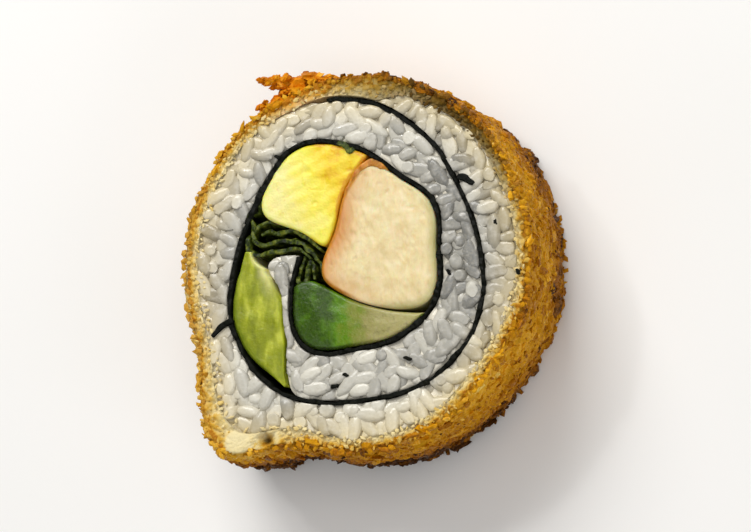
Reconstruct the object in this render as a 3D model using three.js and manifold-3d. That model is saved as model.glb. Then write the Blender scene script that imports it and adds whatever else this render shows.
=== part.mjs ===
// One slice of a deep-fried sushi roll, lying flat on its lower cut face.
//
// The roll is a sheet of dried seaweed with sticky rice spread over its outer side. It is
// rolled up round a crab stick, omelette, cucumber, avocado and a lettuce leaf, then battered,
// crumbed, fried and sliced. So the cut face shows, from the middle outwards: the fillings,
// the inner turn of seaweed, a band of rice, the outer turn of seaweed, the outer rice and
// the fried coat. Every layer runs straight through the slice.
//
// Millimetres, +Z up. The origin is in the middle of the lower cut face. Angles are degrees,
// anticlockwise from +X about the roll's own centre. A turn angle goes on past 360 and
// follows the rolled sheet from its inner end to its outer end.
import * as THREE from 'three';
import { mergeVertices } from 'three/addons/utils/BufferGeometryUtils.js';
import Module from 'manifold-3d';

// ---- the slice as a whole ---------------------------------------------------------------
const SLICE_HEIGHT = 22;
const ROLL_CENTRE = new THREE.Vector2(-0.1, 0.9); // what the sheet is wound round
const GAP = 0.3; // clear space between neighbouring pieces
const GOLDEN_SHARE = 0.618; // spreads repeated pieces without a visible pattern

// ---- seaweed: one sheet, rolled a little over one and three quarter turns ---------------
const NORI_THICKNESS = 0.8;
const NORI_HEIGHT = 21.6;
const NORI_START = 183;
const NORI_END = 821;
const NORI_STEP = 4.5; // turn angle between two stations of the solid
const KNOT_FIRST = 180;
const KNOT_STEP = 30;
const NORI_KNOTS = [
  8.1, 11.2, 15.6, 14.0, 14.0, 13.8, 12.4, 13.5, 12.7, 15.1, 17.9, 16.8, // inner turn
  17.8, 21.3, 22.9, 21.5, 21.6, 20.8, 18.4, 17.7, 19.6, 22.1, 23.0, // outer turn
];

// ---- fried coat -------------------------------------------------------------------------
const COAT_RADIUS = 26.5; // about the roll's centre, before the terms below
const COAT_DROP = 1.7; // the roll has sunk towards -Y
const COAT_OVAL = 0.7; // and is a little taller than wide
const COAT_BULGES = [
  { at: 234, height: 6.9, before: 16, after: 11.5 }, // corner of clumped batter
  { at: 318, height: -1.1, before: 22, after: 22 },
  { at: 45, height: 0.5, before: 20, after: 20 },
  { at: 112, height: -0.5, before: 14, after: 14 },
];
const COAT_THICKNESS = 2.0;
const COAT_CORNER_EXTRA = 2.0; // the corner's coat is thicker by this
const COAT_BARREL = 0.5; // the side swells this far at mid height
const COAT_COLUMNS = 120;
const COAT_LEVELS = 9;
const LUMP_DEPTH = 0.4; // broad unevenness of the side
const CRAG_DEPTH = 0.8; // crumb-sized unevenness, from hollow to crest
const FLAKE_COUNT = 84;
const FLAKE_LENGTH = [1.8, 4.6];
const FLAKE_MARGIN = 2.2; // between the flakes' middles and the cut edges
const CHUNK = { // clump of crumbs beside the seam, as crumbs strung along the cut edge
  from: 105, to: 122, radius: 26.8, crumbs: 4, long: 5.2, deep: 4.6, tall: 6.5, top: 22.1,
};

// ---- rice -------------------------------------------------------------------------------
const RICE_START = 182;
const RICE_END = 800; // the strip thins out just before the sheet's outer end
const RICE_HEIGHT = 20.9; // the bed, which the grains stand proud of
const RICE_STEP = 5;
const RICE_LEAST = 0.9; // thinnest the strip gets on the tight inner curl
const CURL_END = { at: 188, extra: 2.9, width: 12 }; // the strip's fat inner end
const CURL_OPENS = [230, 247]; // from here the rice fills the whole band
const SHEET_LAP = [463, 469]; // past the sheet's outer end the rice reaches the coat
const SHEET_BARE_FROM = [792, 804]; // the coat comes down onto the bare sheet
const SHEET_BARE_TO = [825, 835]; // and goes back onto rice
const GRAIN_LENGTH = 5.8;
const GRAIN_WIDTH = 2.7;
const GRAIN_SIDES = 5;
const GRAIN_PITCH = 2.9; // along the strip
const GRAIN_LEAST = 0.5; // a grain shortened past this share of its length is left out

// ---- fillings: outlines seen from above, as x and y from the roll's centre --------------
const CRAB_STICK = {
  height: 22.1, dome: 0.35, centre: [4.2, 0.7],
  outline: [
    [1.9, 11.5], [-1.4, 8.1], [-2.4, 3.2], [-4.1, -1.3], [-3.5, -4.6], [1.6, -7.3],
    [7.6, -8.1], [11.4, -5.3], [11.9, 1.3], [10.8, 7.1], [6.4, 9.9],
  ],
};
const OMELETTE = {
  height: 21.9, dome: 0.25, centre: [-6.8, 9.1],
  outline: [
    [-10.3, 14.1], [-7.0, 16.1], [-3.3, 15.9], [0.9, 14.1], [-0.4, 11.6], [-2.3, 8.7],
    [-3.3, 4.7], [-4.7, 1.6], [-8.0, 4.0], [-12.9, 5.9], [-12.9, 9.9],
  ],
};
const CUCUMBER = {
  height: 21.8, dome: 0.3, centre: [-3.6, -9.9],
  outline: [
    [-8.9, -5.6], [-9.4, -9.3], [-7.9, -13.5], [-4.6, -14.7], [1.6, -13.5], [8.4, -11.6],
    [9.9, -9.5], [4.8, -8.7], [0.0, -7.5], [-3.9, -5.5], [-6.4, -4.6],
  ],
};
const AVOCADO = { height: 21.6, start: 179, end: 240, inner: 13.1, topInner: 15.0, step: 3.5 };
const LETTUCE = {
  height: 21.2, thickness: 1.1, ripple: 0.14, ripples: 2.5, stations: 30, levels: 5,
  path: [
    [-11.2, 4.1], [-13.6, 4.4], [-15.2, 3.4], [-15.2, 1.8], [-13.6, 1.3], [-11.3, 2.0],
    [-9.0, 2.0], [-7.0, 0.7], [-5.6, -1.5], [-5.3, -3.6],
  ],
};

// ---- looks of the plain solids ----------------------------------------------------------
const COLOURS = {
  crumb_coat: 0xc88a2c,
  rice: 0xe6e0d0,
  nori: 0x1b1d16,
  crab_stick: 0xecd6ae,
  omelette: 0xf6e35a,
  cucumber: 0x8fa83c,
  avocado: 0xa3b02c,
  lettuce: 0x343d16,
};
const ROUGHNESS = {
  crumb_coat: 0.75,
  rice: 0.5,
  nori: 0.4,
  crab_stick: 0.45,
  omelette: 0.45,
  cucumber: 0.35,
  avocado: 0.45,
  lettuce: 0.4,
};

// ---- small tools ------------------------------------------------------------------------
const wasm = await Module();
wasm.setup();

const radians = THREE.MathUtils.degToRad;
const degrees = THREE.MathUtils.radToDeg;
const lerp = THREE.MathUtils.lerp;

// A repeatable stream of numbers from 0 to 1.
function seededRandom(seed) {
  let state = seed;
  return () => {
    state = (Math.imul(state, 1664525) + 1013904223) >>> 0;
    return state / 2 ** 32;
  };
}

// 0 before the range, 1 after it, with a soft step between.
function softStep(value, [from, to]) {
  return THREE.MathUtils.smoothstep(value, from, to);
}

// A smooth hill of height 1 at one angle, with its own width on either side.
function hill(angle, at, before, after = before) {
  const away = THREE.MathUtils.euclideanModulo(angle - at + 180, 360) - 180;
  const width = away < 0 ? before : after;
  return Math.exp(-((away / width) ** 2));
}

// The smooth curve through equally spaced values, read at a place counted in spaces.
function throughKnots(values, place) {
  const last = values.length - 1;
  const i = THREE.MathUtils.clamp(Math.floor(place), 0, last - 1);
  const s = place - i;
  const [a, b, c, d] = [-1, 0, 1, 2].map((k) => values[THREE.MathUtils.clamp(i + k, 0, last)]);
  return b + 0.5 * s * (c - a + s * (2 * a - 5 * b + 4 * c - d + s * (3 * (b - c) + d - a)));
}

// The point at x and y from the roll's centre.
function placed(x, y, z) {
  return new THREE.Vector3(ROLL_CENTRE.x + x, ROLL_CENTRE.y + y, z);
}

// The point at an angle and a distance from the roll's centre.
function around(angle, radius, z) {
  return placed(radius * Math.cos(radians(angle)), radius * Math.sin(radians(angle)), z);
}

// A closed solid from rings with the same number of points. The rings close on each other
// where `endless`, and otherwise each end is filled by a fan round the end ring's middle.
function skin(rings, endless = false) {
  const count = rings[0].length;
  const points = rings.flat();
  const faces = [];
  const last = endless ? rings.length : rings.length - 1;
  for (let i = 0; i < last; i += 1) {
    const here = i * count;
    const next = ((i + 1) % rings.length) * count;
    for (let j = 0; j < count; j += 1) {
      const k = (j + 1) % count;
      faces.push(here + j, next + j, next + k, here + j, next + k, here + k);
    }
  }
  if (!endless) {
    for (const [ring, flipped] of [[0, false], [rings.length - 1, true]]) {
      const middle = points.length;
      const sum = rings[ring].reduce((total, p) => total.add(p), new THREE.Vector3());
      points.push(sum.divideScalar(count));
      for (let j = 0; j < count; j += 1) {
        const edge = [ring * count + j, ring * count + ((j + 1) % count)];
        faces.push(middle, ...(flipped ? edge.reverse() : edge));
      }
    }
  }
  const geometry = new THREE.BufferGeometry().setFromPoints(points);
  geometry.setIndex(volume(points, faces) < 0 ? faces.reverse() : faces);
  return geometry;
}

// The volume inside a closed set of faces, negative where they point inwards.
function volume(points, faces) {
  let total = 0;
  for (let f = 0; f < faces.length; f += 3) {
    const [a, b, c] = [points[faces[f]], points[faces[f + 1]], points[faces[f + 2]]];
    total += new THREE.Vector3().crossVectors(b, c).dot(a) / 6;
  }
  return total;
}

function toSolid(geometry) {
  const bare = geometry.clone();
  bare.deleteAttribute('normal');
  bare.deleteAttribute('uv');
  const merged = mergeVertices(bare, 1e-4);
  const mesh = new wasm.Mesh({
    numProp: 3,
    vertProperties: new Float32Array(merged.attributes.position.array),
    triVerts: new Uint32Array(merged.index.array),
  });
  return new wasm.Manifold(mesh);
}

function fromSolid(solid) {
  const mesh = solid.getMesh();
  const geometry = new THREE.BufferGeometry();
  geometry.setAttribute('position', new THREE.BufferAttribute(mesh.vertProperties, 3));
  geometry.setIndex(new THREE.BufferAttribute(mesh.triVerts, 1));
  return geometry;
}

// ---- the layers as radii about the roll's centre ----------------------------------------
function noriRadius(turn) {
  return throughKnots(NORI_KNOTS, (turn - KNOT_FIRST) / KNOT_STEP);
}

function coatOuter(angle) {
  const oval = COAT_OVAL * Math.cos(radians(2 * angle));
  const drop = COAT_DROP * Math.sin(radians(angle));
  const bulges = COAT_BULGES.map((b) => b.height * hill(angle, b.at, b.before, b.after));
  return COAT_RADIUS - drop - oval + bulges.reduce((sum, b) => sum + b, 0);
}

const NORI_CLEAR = NORI_THICKNESS / 2 + GAP;
const SHEET_LAST_TURN = NORI_END - 360;

// The coat lies on the rice, and near the sheet's outer end on the sheet itself.
function coatInner(angle) {
  const corner = COAT_CORNER_EXTRA * hill(angle, COAT_BULGES[0].at, COAT_BULGES[0].before);
  const onRice = coatOuter(angle) - COAT_THICKNESS - corner;
  const turn = angle + 720;
  const onSheet = noriRadius(Math.min(turn, NORI_END)) + NORI_CLEAR;
  const meets = softStep(turn, SHEET_BARE_FROM) * (1 - softStep(turn, SHEET_BARE_TO));
  return lerp(onRice, onSheet, meets);
}

function riceInner(turn) {
  return noriRadius(turn) + NORI_CLEAR;
}

// The rice reaches to the next turn of the sheet, or to the coat past the sheet's end. On
// the tight inner curl it is only a thin layer that ends in a fat bead.
function riceOuter(turn) {
  const angle = THREE.MathUtils.euclideanModulo(turn, 360);
  const toSheet = noriRadius(Math.min(turn + 360, NORI_END)) - NORI_CLEAR;
  const toCoat = coatInner(angle) - GAP;
  const band = lerp(toSheet, toCoat, turn > SHEET_LAST_TURN ? softStep(turn, SHEET_LAP) : 0);
  const bead = turn < 360 ? CURL_END.extra * hill(turn, CURL_END.at, CURL_END.width) : 0;
  return lerp(riceInner(turn) + RICE_LEAST + bead, band, softStep(turn, CURL_OPENS));
}

// ---- crumb coat -------------------------------------------------------------------------
// Broad lumps from two waves that never line up.
function lumps(angle, z) {
  const a = radians(angle);
  return LUMP_DEPTH * Math.sin(7 * a + 0.31 * z) * Math.sin(11 * a - 0.43 * z + 1.3);
}

function coatSolid(random) {
  const rings = [];
  for (let i = 0; i < COAT_COLUMNS; i += 1) {
    const angle = (360 * i) / COAT_COLUMNS;
    const inner = coatInner(angle);
    const rim = SLICE_HEIGHT + 0.25 * Math.sin(radians(5 * angle)) - 0.15;
    const ring = [around(angle, inner, 0)];
    for (let level = 0; level <= COAT_LEVELS; level += 1) {
      const share = level / COAT_LEVELS;
      const swell = COAT_BARREL * Math.sin(Math.PI * share);
      const z = share * rim;
      const rough = lumps(angle, z) + CRAG_DEPTH * (random() - 0.6);
      ring.push(around(angle, coatOuter(angle) + swell + rough, z));
    }
    ring.push(around(angle, inner, rim - 0.2));
    rings.push(ring);
  }
  return skin(rings, true);
}

// A crooked crumb: a coarse ball pulled to size, with its points shaken.
function crumb(random, size, geometry = new THREE.OctahedronGeometry(0.55, 0)) {
  geometry.deleteAttribute('normal');
  geometry.deleteAttribute('uv');
  const merged = mergeVertices(geometry, 1e-4);
  const points = merged.attributes.position;
  for (let i = 0; i < points.count; i += 1) {
    const shake = 0.75 + 0.5 * random();
    points.setXYZ(i, points.getX(i) * shake, points.getY(i) * shake, points.getZ(i) * shake);
  }
  return merged.scale(...size);
}

// Crumbs half sunk in the side, all round and at every height.
function coatFlakes(random) {
  const flakes = [];
  for (let i = 0; i < FLAKE_COUNT; i += 1) {
    const angle = (360 * (i + random())) / FLAKE_COUNT;
    const long = lerp(...FLAKE_LENGTH, random() ** 2);
    const level = (i * GOLDEN_SHARE + 0.1 * random()) % 1;
    const height = lerp(FLAKE_MARGIN, SLICE_HEIGHT - FLAKE_MARGIN, level);
    const flake = crumb(random, [1.2 + 0.2 * long, long, 0.6 * long]);
    flake.rotateX(Math.PI * random());
    flake.rotateZ(radians(angle));
    const place = around(angle, coatOuter(angle) + 0.1, height);
    flake.translate(place.x, place.y, place.z);
    flakes.push(flake);
  }
  return flakes;
}

// The large clump beside the seam, at the upper cut edge: crumbs that overlap in a row.
function coatChunk(random) {
  const { from, to, radius, crumbs, long, deep, tall, top } = CHUNK;
  return Array.from({ length: crumbs }, (_, i) => {
    const angle = lerp(from, to, i / (crumbs - 1));
    const size = 0.8 + 0.4 * random();
    const ball = new THREE.IcosahedronGeometry(0.5, 0);
    const piece = crumb(random, [deep * size, long * size, tall * size], ball);
    piece.rotateZ(radians(angle + 30 * (random() - 0.5)));
    piece.computeBoundingBox();
    const place = around(angle, radius + random(), top - 0.5 * random() - piece.boundingBox.max.z);
    return piece.translate(place.x, place.y, place.z);
  });
}

function crumbCoat() {
  const random = seededRandom(7);
  let coat = toSolid(coatSolid(random));
  for (const piece of [...coatChunk(random), ...coatFlakes(random)]) {
    coat = coat.add(toSolid(piece));
  }
  return fromSolid(coat);
}

// ---- rice -------------------------------------------------------------------------------
function riceBed() {
  const rings = [];
  const steps = Math.round((RICE_END - RICE_START) / RICE_STEP);
  for (let i = 0; i <= steps; i += 1) {
    const turn = lerp(RICE_START, RICE_END, i / steps);
    const inner = riceInner(turn);
    const outer = riceOuter(turn);
    const middle = (inner + outer) / 2;
    const top = RICE_HEIGHT + 0.25 * Math.sin(radians(9 * turn));
    rings.push([
      around(turn, inner, 0),
      around(turn, outer, 0),
      around(turn, outer, RICE_HEIGHT - 0.3),
      around(turn, middle, top),
      around(turn, inner, RICE_HEIGHT - 0.3),
    ]);
  }
  return skin(rings);
}

// Whether every point of a grain lies on the strip and clear of both sheets and the coat.
function onStrip(grain, turn) {
  const points = grain.attributes.position;
  for (let i = 0; i < points.count; i += 1) {
    const away = new THREE.Vector2().fromBufferAttribute(points, i).sub(ROLL_CENTRE);
    const angle = degrees(away.angle());
    const here = angle + 360 * Math.round((turn - angle) / 360);
    const radius = away.length();
    if (here < RICE_START || here > RICE_END) return false;
    if (radius < riceInner(here) || radius > riceOuter(here)) return false;
  }
  return true;
}

// A grain at a place on the strip, shortened until it fits between its neighbours.
function fittedGrain(turn, across, spin, nod, proud) {
  const radius = lerp(riceInner(turn), riceOuter(turn), across);
  for (let share = 1; share >= GRAIN_LEAST; share -= 0.1) {
    const grain = new THREE.SphereGeometry(0.5, GRAIN_SIDES, 4);
    grain.scale(GRAIN_WIDTH, GRAIN_LENGTH * share, GRAIN_WIDTH);
    grain.rotateX(nod);
    grain.rotateZ(radians(turn) + spin);
    grain.computeBoundingBox();
    const place = around(turn, radius, SLICE_HEIGHT + proud - grain.boundingBox.max.z);
    grain.translate(place.x, place.y, place.z);
    if (onStrip(grain, turn)) return grain;
  }
  return null;
}

function riceGrains() {
  const random = seededRandom(23);
  const grains = [];
  let turn = RICE_START + 3;
  while (turn < RICE_END - 3) {
    const width = riceOuter(turn) - riceInner(turn);
    const lanes = Math.max(1, Math.round(width / GRAIN_WIDTH));
    for (let lane = 0; lane < lanes; lane += 1) {
      const across = (lane + 0.5 + 0.3 * (random() - 0.5)) / lanes;
      const spin = 1.6 * (random() - 0.5);
      const nod = 0.5 * (random() - 0.5);
      const proud = -0.3 + 0.35 * random();
      const shift = 2 * (random() - 0.5);
      const grain = fittedGrain(turn + shift, across, spin, nod, proud);
      if (grain) grains.push(grain);
    }
    const reach = (riceInner(turn) + riceOuter(turn)) / 2;
    turn += degrees(GRAIN_PITCH / reach) * (0.85 + 0.3 * random());
  }
  return grains;
}

function rice() {
  let heap = toSolid(riceBed());
  for (const grain of riceGrains()) heap = heap.add(toSolid(grain));
  return fromSolid(heap);
}

// ---- seaweed ----------------------------------------------------------------------------
function nori() {
  const rings = [];
  const steps = Math.round((NORI_END - NORI_START) / NORI_STEP);
  for (let i = 0; i <= steps; i += 1) {
    const turn = lerp(NORI_START, NORI_END, i / steps);
    const inner = noriRadius(turn) - NORI_THICKNESS / 2;
    const outer = noriRadius(turn) + NORI_THICKNESS / 2;
    const top = NORI_HEIGHT + 0.15 * Math.sin(radians(7 * turn));
    rings.push([
      around(turn, inner, 0),
      around(turn, outer, 0),
      around(turn, outer, top),
      around(turn, inner, top),
    ]);
  }
  return skin(rings);
}

// ---- fillings ---------------------------------------------------------------------------
// Draws a point in until it is clear of the sheet's inner turn.
function tucked(point) {
  const angle = degrees(point.angle());
  const turn = NORI_START + THREE.MathUtils.euclideanModulo(angle - NORI_START, 360);
  return point.clampLength(0, noriRadius(turn) - NORI_CLEAR);
}

// A filling cut straight through: its outline drawn up to a soft edge and a low dome.
function filling({ height, dome, centre, outline }, samples = 44) {
  const knots = outline.map(([x, y]) => new THREE.Vector3(x, y, 0));
  const curve = new THREE.CatmullRomCurve3(knots, true, 'catmullrom', 0.5);
  const edge = [];
  for (let i = 0; i < samples; i += 1) {
    const p = curve.getPoint(i / samples);
    edge.push(tucked(new THREE.Vector2(p.x, p.y)));
  }
  const middle = new THREE.Vector2(...centre);
  const ringAt = (share, z) => edge.map((p) => {
    const q = p.clone().lerp(middle, 1 - share);
    return placed(q.x, q.y, z);
  });
  return skin([
    ringAt(0.5, 0),
    ringAt(1, 0),
    ringAt(1, height - 0.5),
    ringAt(0.94, height - 0.05),
    ringAt(0.55, height + 0.7 * dome),
    ringAt(0.2, height + dome),
  ]);
}

// The avocado fills the crescent between the rice's inner curl and the sheet's outer turn.
function avocado() {
  const { height, start, end, inner, topInner, step } = AVOCADO;
  const rings = [];
  const steps = Math.round((end - start) / step);
  for (let i = 0; i <= steps; i += 1) {
    const share = i / steps;
    const angle = lerp(start, end, share);
    const outside = noriRadius(angle + 360) - NORI_CLEAR;
    const fromCurl = angle < RICE_START - 4 ? 0 : riceOuter(Math.max(angle, RICE_START)) + GAP;
    const inside = Math.max(inner, fromCurl, topInner * hill(angle, start, 26));
    const middle = lerp(inside, outside, 0.5);
    const taper = Math.sin(Math.PI * lerp(0.05, 0.95, share)) ** 0.4;
    const half = (Math.max(outside - inside, 0.8) / 2) * taper;
    const corner = Math.min(0.5, 0.5 * half);
    rings.push([
      around(angle, middle - half, 0),
      around(angle, middle + half, 0),
      around(angle, middle + half, height - corner),
      around(angle, middle + half - corner, height),
      around(angle, middle - half + corner, height),
      around(angle, middle - half, height - corner),
    ]);
  }
  return skin(rings);
}

// The lettuce leaf stands on edge: a thin strip along its path, rippled up its height.
function lettuce() {
  const { height, thickness, ripple, ripples, stations, levels, path } = LETTUCE;
  const knots = path.map(([x, y]) => new THREE.Vector3(x, y, 0));
  const curve = new THREE.CatmullRomCurve3(knots, false, 'catmullrom', 0.5);
  const rings = [];
  for (let i = 0; i <= stations; i += 1) {
    const share = i / stations;
    const place = curve.getPoint(share);
    const along = curve.getTangent(share);
    const aside = new THREE.Vector3(-along.y, along.x, 0);
    const half = (thickness / 2) * Math.sqrt(Math.sin(Math.PI * lerp(0.06, 0.94, share)));
    const face = (side) => Array.from({ length: levels + 1 }, (_, level) => {
      const rise = level / levels;
      const wave = ripple * Math.sin(2 * Math.PI * (ripples * rise + 1.5 * share));
      const lip = 0.25 * Math.sin(radians(900 * share)) * rise;
      const point = place.clone().addScaledVector(aside, side * half + wave);
      return placed(point.x, point.y, height * rise + lip);
    });
    rings.push([...face(-1), ...face(1).reverse()]);
  }
  return skin(rings);
}

// ---- the slice --------------------------------------------------------------------------
const SHAPES = {
  crumb_coat: crumbCoat(),
  rice: rice(),
  nori: nori(),
  crab_stick: filling(CRAB_STICK),
  omelette: filling(OMELETTE),
  cucumber: filling(CUCUMBER),
  avocado: avocado(),
  lettuce: lettuce(),
};

const slice = new THREE.Group();
for (const [name, geometry] of Object.entries(SHAPES)) {
  const material = new THREE.MeshStandardMaterial({
    color: COLOURS[name],
    roughness: ROUGHNESS[name],
    metalness: 0,
  });
  const mesh = new THREE.Mesh(geometry, material);
  mesh.name = name;
  slice.add(mesh);
}

export default slice;
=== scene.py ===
# %% [markdown]
# # A slice of fried sushi roll
# The real thing is a sheet of dried seaweed with sticky rice on its outer side, rolled up
# round a few long fillings, dipped in batter, rolled in breadcrumbs, deep-fried and cut
# across. The slice lies on its lower cut face, so the upper cut face shows every layer as a
# ring, and the side shows only the fried crumbs.
#
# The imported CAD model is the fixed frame: it has the right layers at the right size, but with
# few faces. Each piece below is computed again with numpy at a much finer grain, in the same
# place, and then stands for its CAD node.

# %% Load the fixed frame
import itertools

import bpy
import numpy as np
from mathutils import Matrix, Vector


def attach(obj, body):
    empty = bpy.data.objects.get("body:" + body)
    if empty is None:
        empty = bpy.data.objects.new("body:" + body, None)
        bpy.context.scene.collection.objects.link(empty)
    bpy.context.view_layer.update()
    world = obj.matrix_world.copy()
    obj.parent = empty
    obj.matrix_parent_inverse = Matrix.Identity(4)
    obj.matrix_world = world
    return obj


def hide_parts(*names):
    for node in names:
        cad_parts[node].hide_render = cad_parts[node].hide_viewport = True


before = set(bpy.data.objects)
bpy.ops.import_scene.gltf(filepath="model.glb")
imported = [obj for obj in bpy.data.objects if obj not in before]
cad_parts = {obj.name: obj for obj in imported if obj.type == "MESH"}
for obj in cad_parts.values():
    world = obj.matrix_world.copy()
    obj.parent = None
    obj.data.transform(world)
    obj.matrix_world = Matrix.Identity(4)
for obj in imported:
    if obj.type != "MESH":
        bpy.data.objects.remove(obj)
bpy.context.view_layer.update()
print("CAD nodes:", ", ".join(sorted(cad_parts)))

# %% [markdown]
# ## Sizes
# Everything is worked out in millimetres and about the roll's own centre, and turned into
# metres only when a mesh is made. Angles are degrees, anticlockwise from +X. A turn angle goes
# on past 360, so it follows the rolled sheet from its inner end to its outer end. The
# seaweed's radius is known every 30 degrees and a smooth curve runs through those values.
# One could also draw the spiral as a Bezier curve, but with a formula every layer beside the
# seaweed can be measured from it.

# %% Name the sizes
MM = 0.001
SLICE_HEIGHT = 22.0
ROLL_CENTRE = np.array([-0.1, 0.9, 0.0])

NORI_START, NORI_END = 183.0, 821.0
NORI_KNOTS = np.array([
    8.1, 11.2, 15.6, 14.0, 14.0, 13.8, 12.4, 13.5, 12.7, 15.1, 17.9, 16.8,  # inner turn
    17.8, 21.3, 22.9, 21.5, 21.6, 20.8, 18.4, 17.7, 19.6, 22.1, 23.0,  # outer turn
])
NORI_HALF = 0.41  # half the sheet's thickness, swollen by the moist rice

COAT_RADIUS, COAT_DROP, COAT_OVAL, COAT_BARREL = 26.5, 1.7, 0.7, 0.5
CORNER_AT, CORNER_WIDTH = 234, 16  # a corner of clumped batter, at the lower left
CLUMP_AT = 112  # a clump of orange crumbs, beside the sheet's outer end
COAT_BULGES = (  # at, height, width before, width after
    (CORNER_AT, 6.9, CORNER_WIDTH, 11.5),
    (318, -1.1, 22, 22),
    (45, 0.5, 20, 20),
    (CLUMP_AT, -0.5, 14, 14),
)
COAT_THICKNESS, COAT_CORNER_EXTRA = 2.0, 2.0

RICE_START, RICE_END = 182.0, 803.0
CURL_OPENS = (230, 247)  # from here the rice fills the whole band
SHEET_LAP = (463, 469)  # past the sheet's outer end the rice reaches the coat
print(f"slice {SLICE_HEIGHT:.0f} mm thick, coat radius about {COAT_RADIUS:.0f} mm")

# %% [markdown]
# ## Curves and noise
# Food has no straight edges, so two kinds of numbers are needed everywhere: smooth curves
# through a few chosen values, and noise. Blender's own noise works one point at a time, which
# is slow in Python. Here each lattice point gets a repeatable number by mixing its whole
# coordinates, and numpy blends those numbers for all the points at once.

# %% Curves through chosen values
def soft_step(value, low, high):
    """0 below low, 1 above high, and 3s squared minus 2s cubed of the share s between them."""
    s = np.clip((np.asarray(value, float) - low) / (high - low), 0, 1)
    return s * s * (3 - 2 * s)


def hill(angle, at, before, after=None):
    """A bell of height 1: e to the minus square of the distance from `at` over the width."""
    away = (np.asarray(angle, float) - at + 180) % 360 - 180
    width = np.where(away < 0, before, before if after is None else after)
    return np.exp(-((away / width) ** 2))


def lone_hill(turn, at, width):
    """The same bell for a turn angle, so it stands once and not again a whole turn later."""
    return np.exp(-(((np.asarray(turn, float) - at) / width) ** 2))


def through_knots(values, place, closed=False):
    """Catmull-Rom curve: a cubic between two knots whose slopes come from their neighbours.
    Past an open curve's ends its last knot is repeated."""
    values = np.asarray(values, float)
    count = len(values)
    i = np.floor(place).astype(int)
    if not closed:
        i = np.clip(i, 0, count - 2)
    s = np.asarray(place) - i
    knots = [(i + k) % count if closed else np.clip(i + k, 0, count - 1) for k in (-1, 0, 1, 2)]
    a, b, c, d = (values[k] for k in knots)
    s = s.reshape(s.shape + (1,) * (values.ndim - 1))
    return b + 0.5 * s * (c - a + s * (2 * a - 5 * b + 4 * c - d + s * (3 * (b - c) + d - a)))


print(f"a bell is {hill(10, 0, 10):.2f} high at one width from its middle")


# %% Noise for whole arrays
def lattice(cell, seed):
    """A number from 0 to 1 for each whole-number cell: coordinates times large odd numbers,
    added, and folded onto themselves by shifts so that neighbours share nothing."""
    x, y, z = (cell[..., k] for k in range(3))
    mixed = (x * 374761393 + y * 668265263 + z * 1103515245 + seed * 974634777) & 0xFFFFFFFF
    mixed = ((mixed ^ (mixed >> 13)) * 1274126177) & 0xFFFFFFFF
    mixed = ((mixed ^ (mixed >> 15)) * 846267193) & 0xFFFFFFFF
    return ((mixed ^ (mixed >> 16)) & 0xFFFFFF) / 0xFFFFFF


def soft_noise(points, size, seed, layers=1):
    """Noise from -1 to 1 with lumps `size` mm wide: the eight lattice numbers round a point,
    blended by smoothed shares. Each further layer has half the size and half the height."""
    total, height, reach = 0.0, 1.0, 0.0
    for layer in range(layers):
        q = points / (size / 2**layer) + 17.3 * seed
        home = np.floor(q).astype(np.int64)
        share = q - home
        share = share * share * (3 - 2 * share)
        blended = 0.0
        for corner in itertools.product((0, 1), repeat=3):
            weight = np.prod(np.where(corner, share, 1 - share), axis=-1)
            blended = blended + weight * lattice(home + np.array(corner), seed + layer)
        total = total + height * (2 * blended - 1)
        reach += height
        height /= 2
    return total / reach


def plates(points, size, seed):
    """Relief like flakes pressed together. Every cell of space owns one shaken point, and a
    place belongs to the nearest. Its height is that cell's random level plus the slope of a
    random lean. Also gives how far inside its cell the place is: second nearest distance
    minus nearest."""
    q = points / size
    home = np.floor(q).astype(np.int64)
    nearest = np.full(q.shape[:-1], 9.0)
    second = nearest.copy()
    height = np.zeros_like(nearest)
    for step in itertools.product((-1, 0, 1), repeat=3):
        cell = home + np.array(step)
        away = q - cell - np.stack([lattice(cell, seed + k) for k in range(3)], -1)
        lean = np.stack([lattice(cell, seed + 3 + k) - 0.5 for k in range(3)], -1)
        distance = np.linalg.norm(away, axis=-1)
        closer = distance < nearest
        level = lattice(cell, seed + 6) - 0.5 + 1.6 * np.sum(away * lean, -1)
        height = np.where(closer, level, height)
        second = np.where(closer, nearest, np.minimum(second, distance))
        nearest = np.where(closer, distance, nearest)
    return height, second - nearest


sample = soft_noise(np.linspace([0, 0, 0], [40, 30, 20], 200), 3.0, 1)
print(f"noise along a line runs from {sample.min():.2f} to {sample.max():.2f}")

# %% [markdown]
# ## Where each layer lies
# The seaweed is the ruler. Rice lies from the sheet's outer face to the next turn of the
# sheet, or to the coat once the sheet has ended. On the tight curl in the middle the rice is
# only a thin layer with a fat bead at its end. The coat's outline is a circle that has sunk a
# little, is a little taller than wide, and has a clumped corner: a few bells added to a circle.

# %% Radii of the layers
def nori_radius(turn):
    """Middle of the sheet: the smooth curve through the radii known every 30 degrees."""
    return through_knots(NORI_KNOTS, (np.asarray(turn, float) - 180) / 30)


def coat_outer(angle):
    """A circle, less a sine that drops it and a double cosine that makes it oval, plus bells."""
    a = np.radians(angle)
    round_part = COAT_RADIUS - COAT_DROP * np.sin(a) - COAT_OVAL * np.cos(2 * a)
    return round_part + sum(h * hill(angle, at, w0, w1) for at, h, w0, w1 in COAT_BULGES)


def coat_inner(angle):
    """The outline less the coat's thickness, but the sheet's own face where that lies bare."""
    angle = np.asarray(angle, float) % 360
    thickness = COAT_THICKNESS + COAT_CORNER_EXTRA * hill(angle, CORNER_AT, CORNER_WIDTH)
    on_rice = coat_outer(angle) - thickness
    turn = angle + 720
    on_sheet = nori_radius(np.minimum(turn, NORI_END)) + NORI_HALF
    meets = soft_step(turn, 792, 804) * (1 - soft_step(turn, 825, 835))
    return on_rice + (on_sheet - on_rice) * meets


def rice_inner(turn):
    """The outer face of the sheet that the rice is stuck to."""
    return nori_radius(turn) + NORI_HALF


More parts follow.
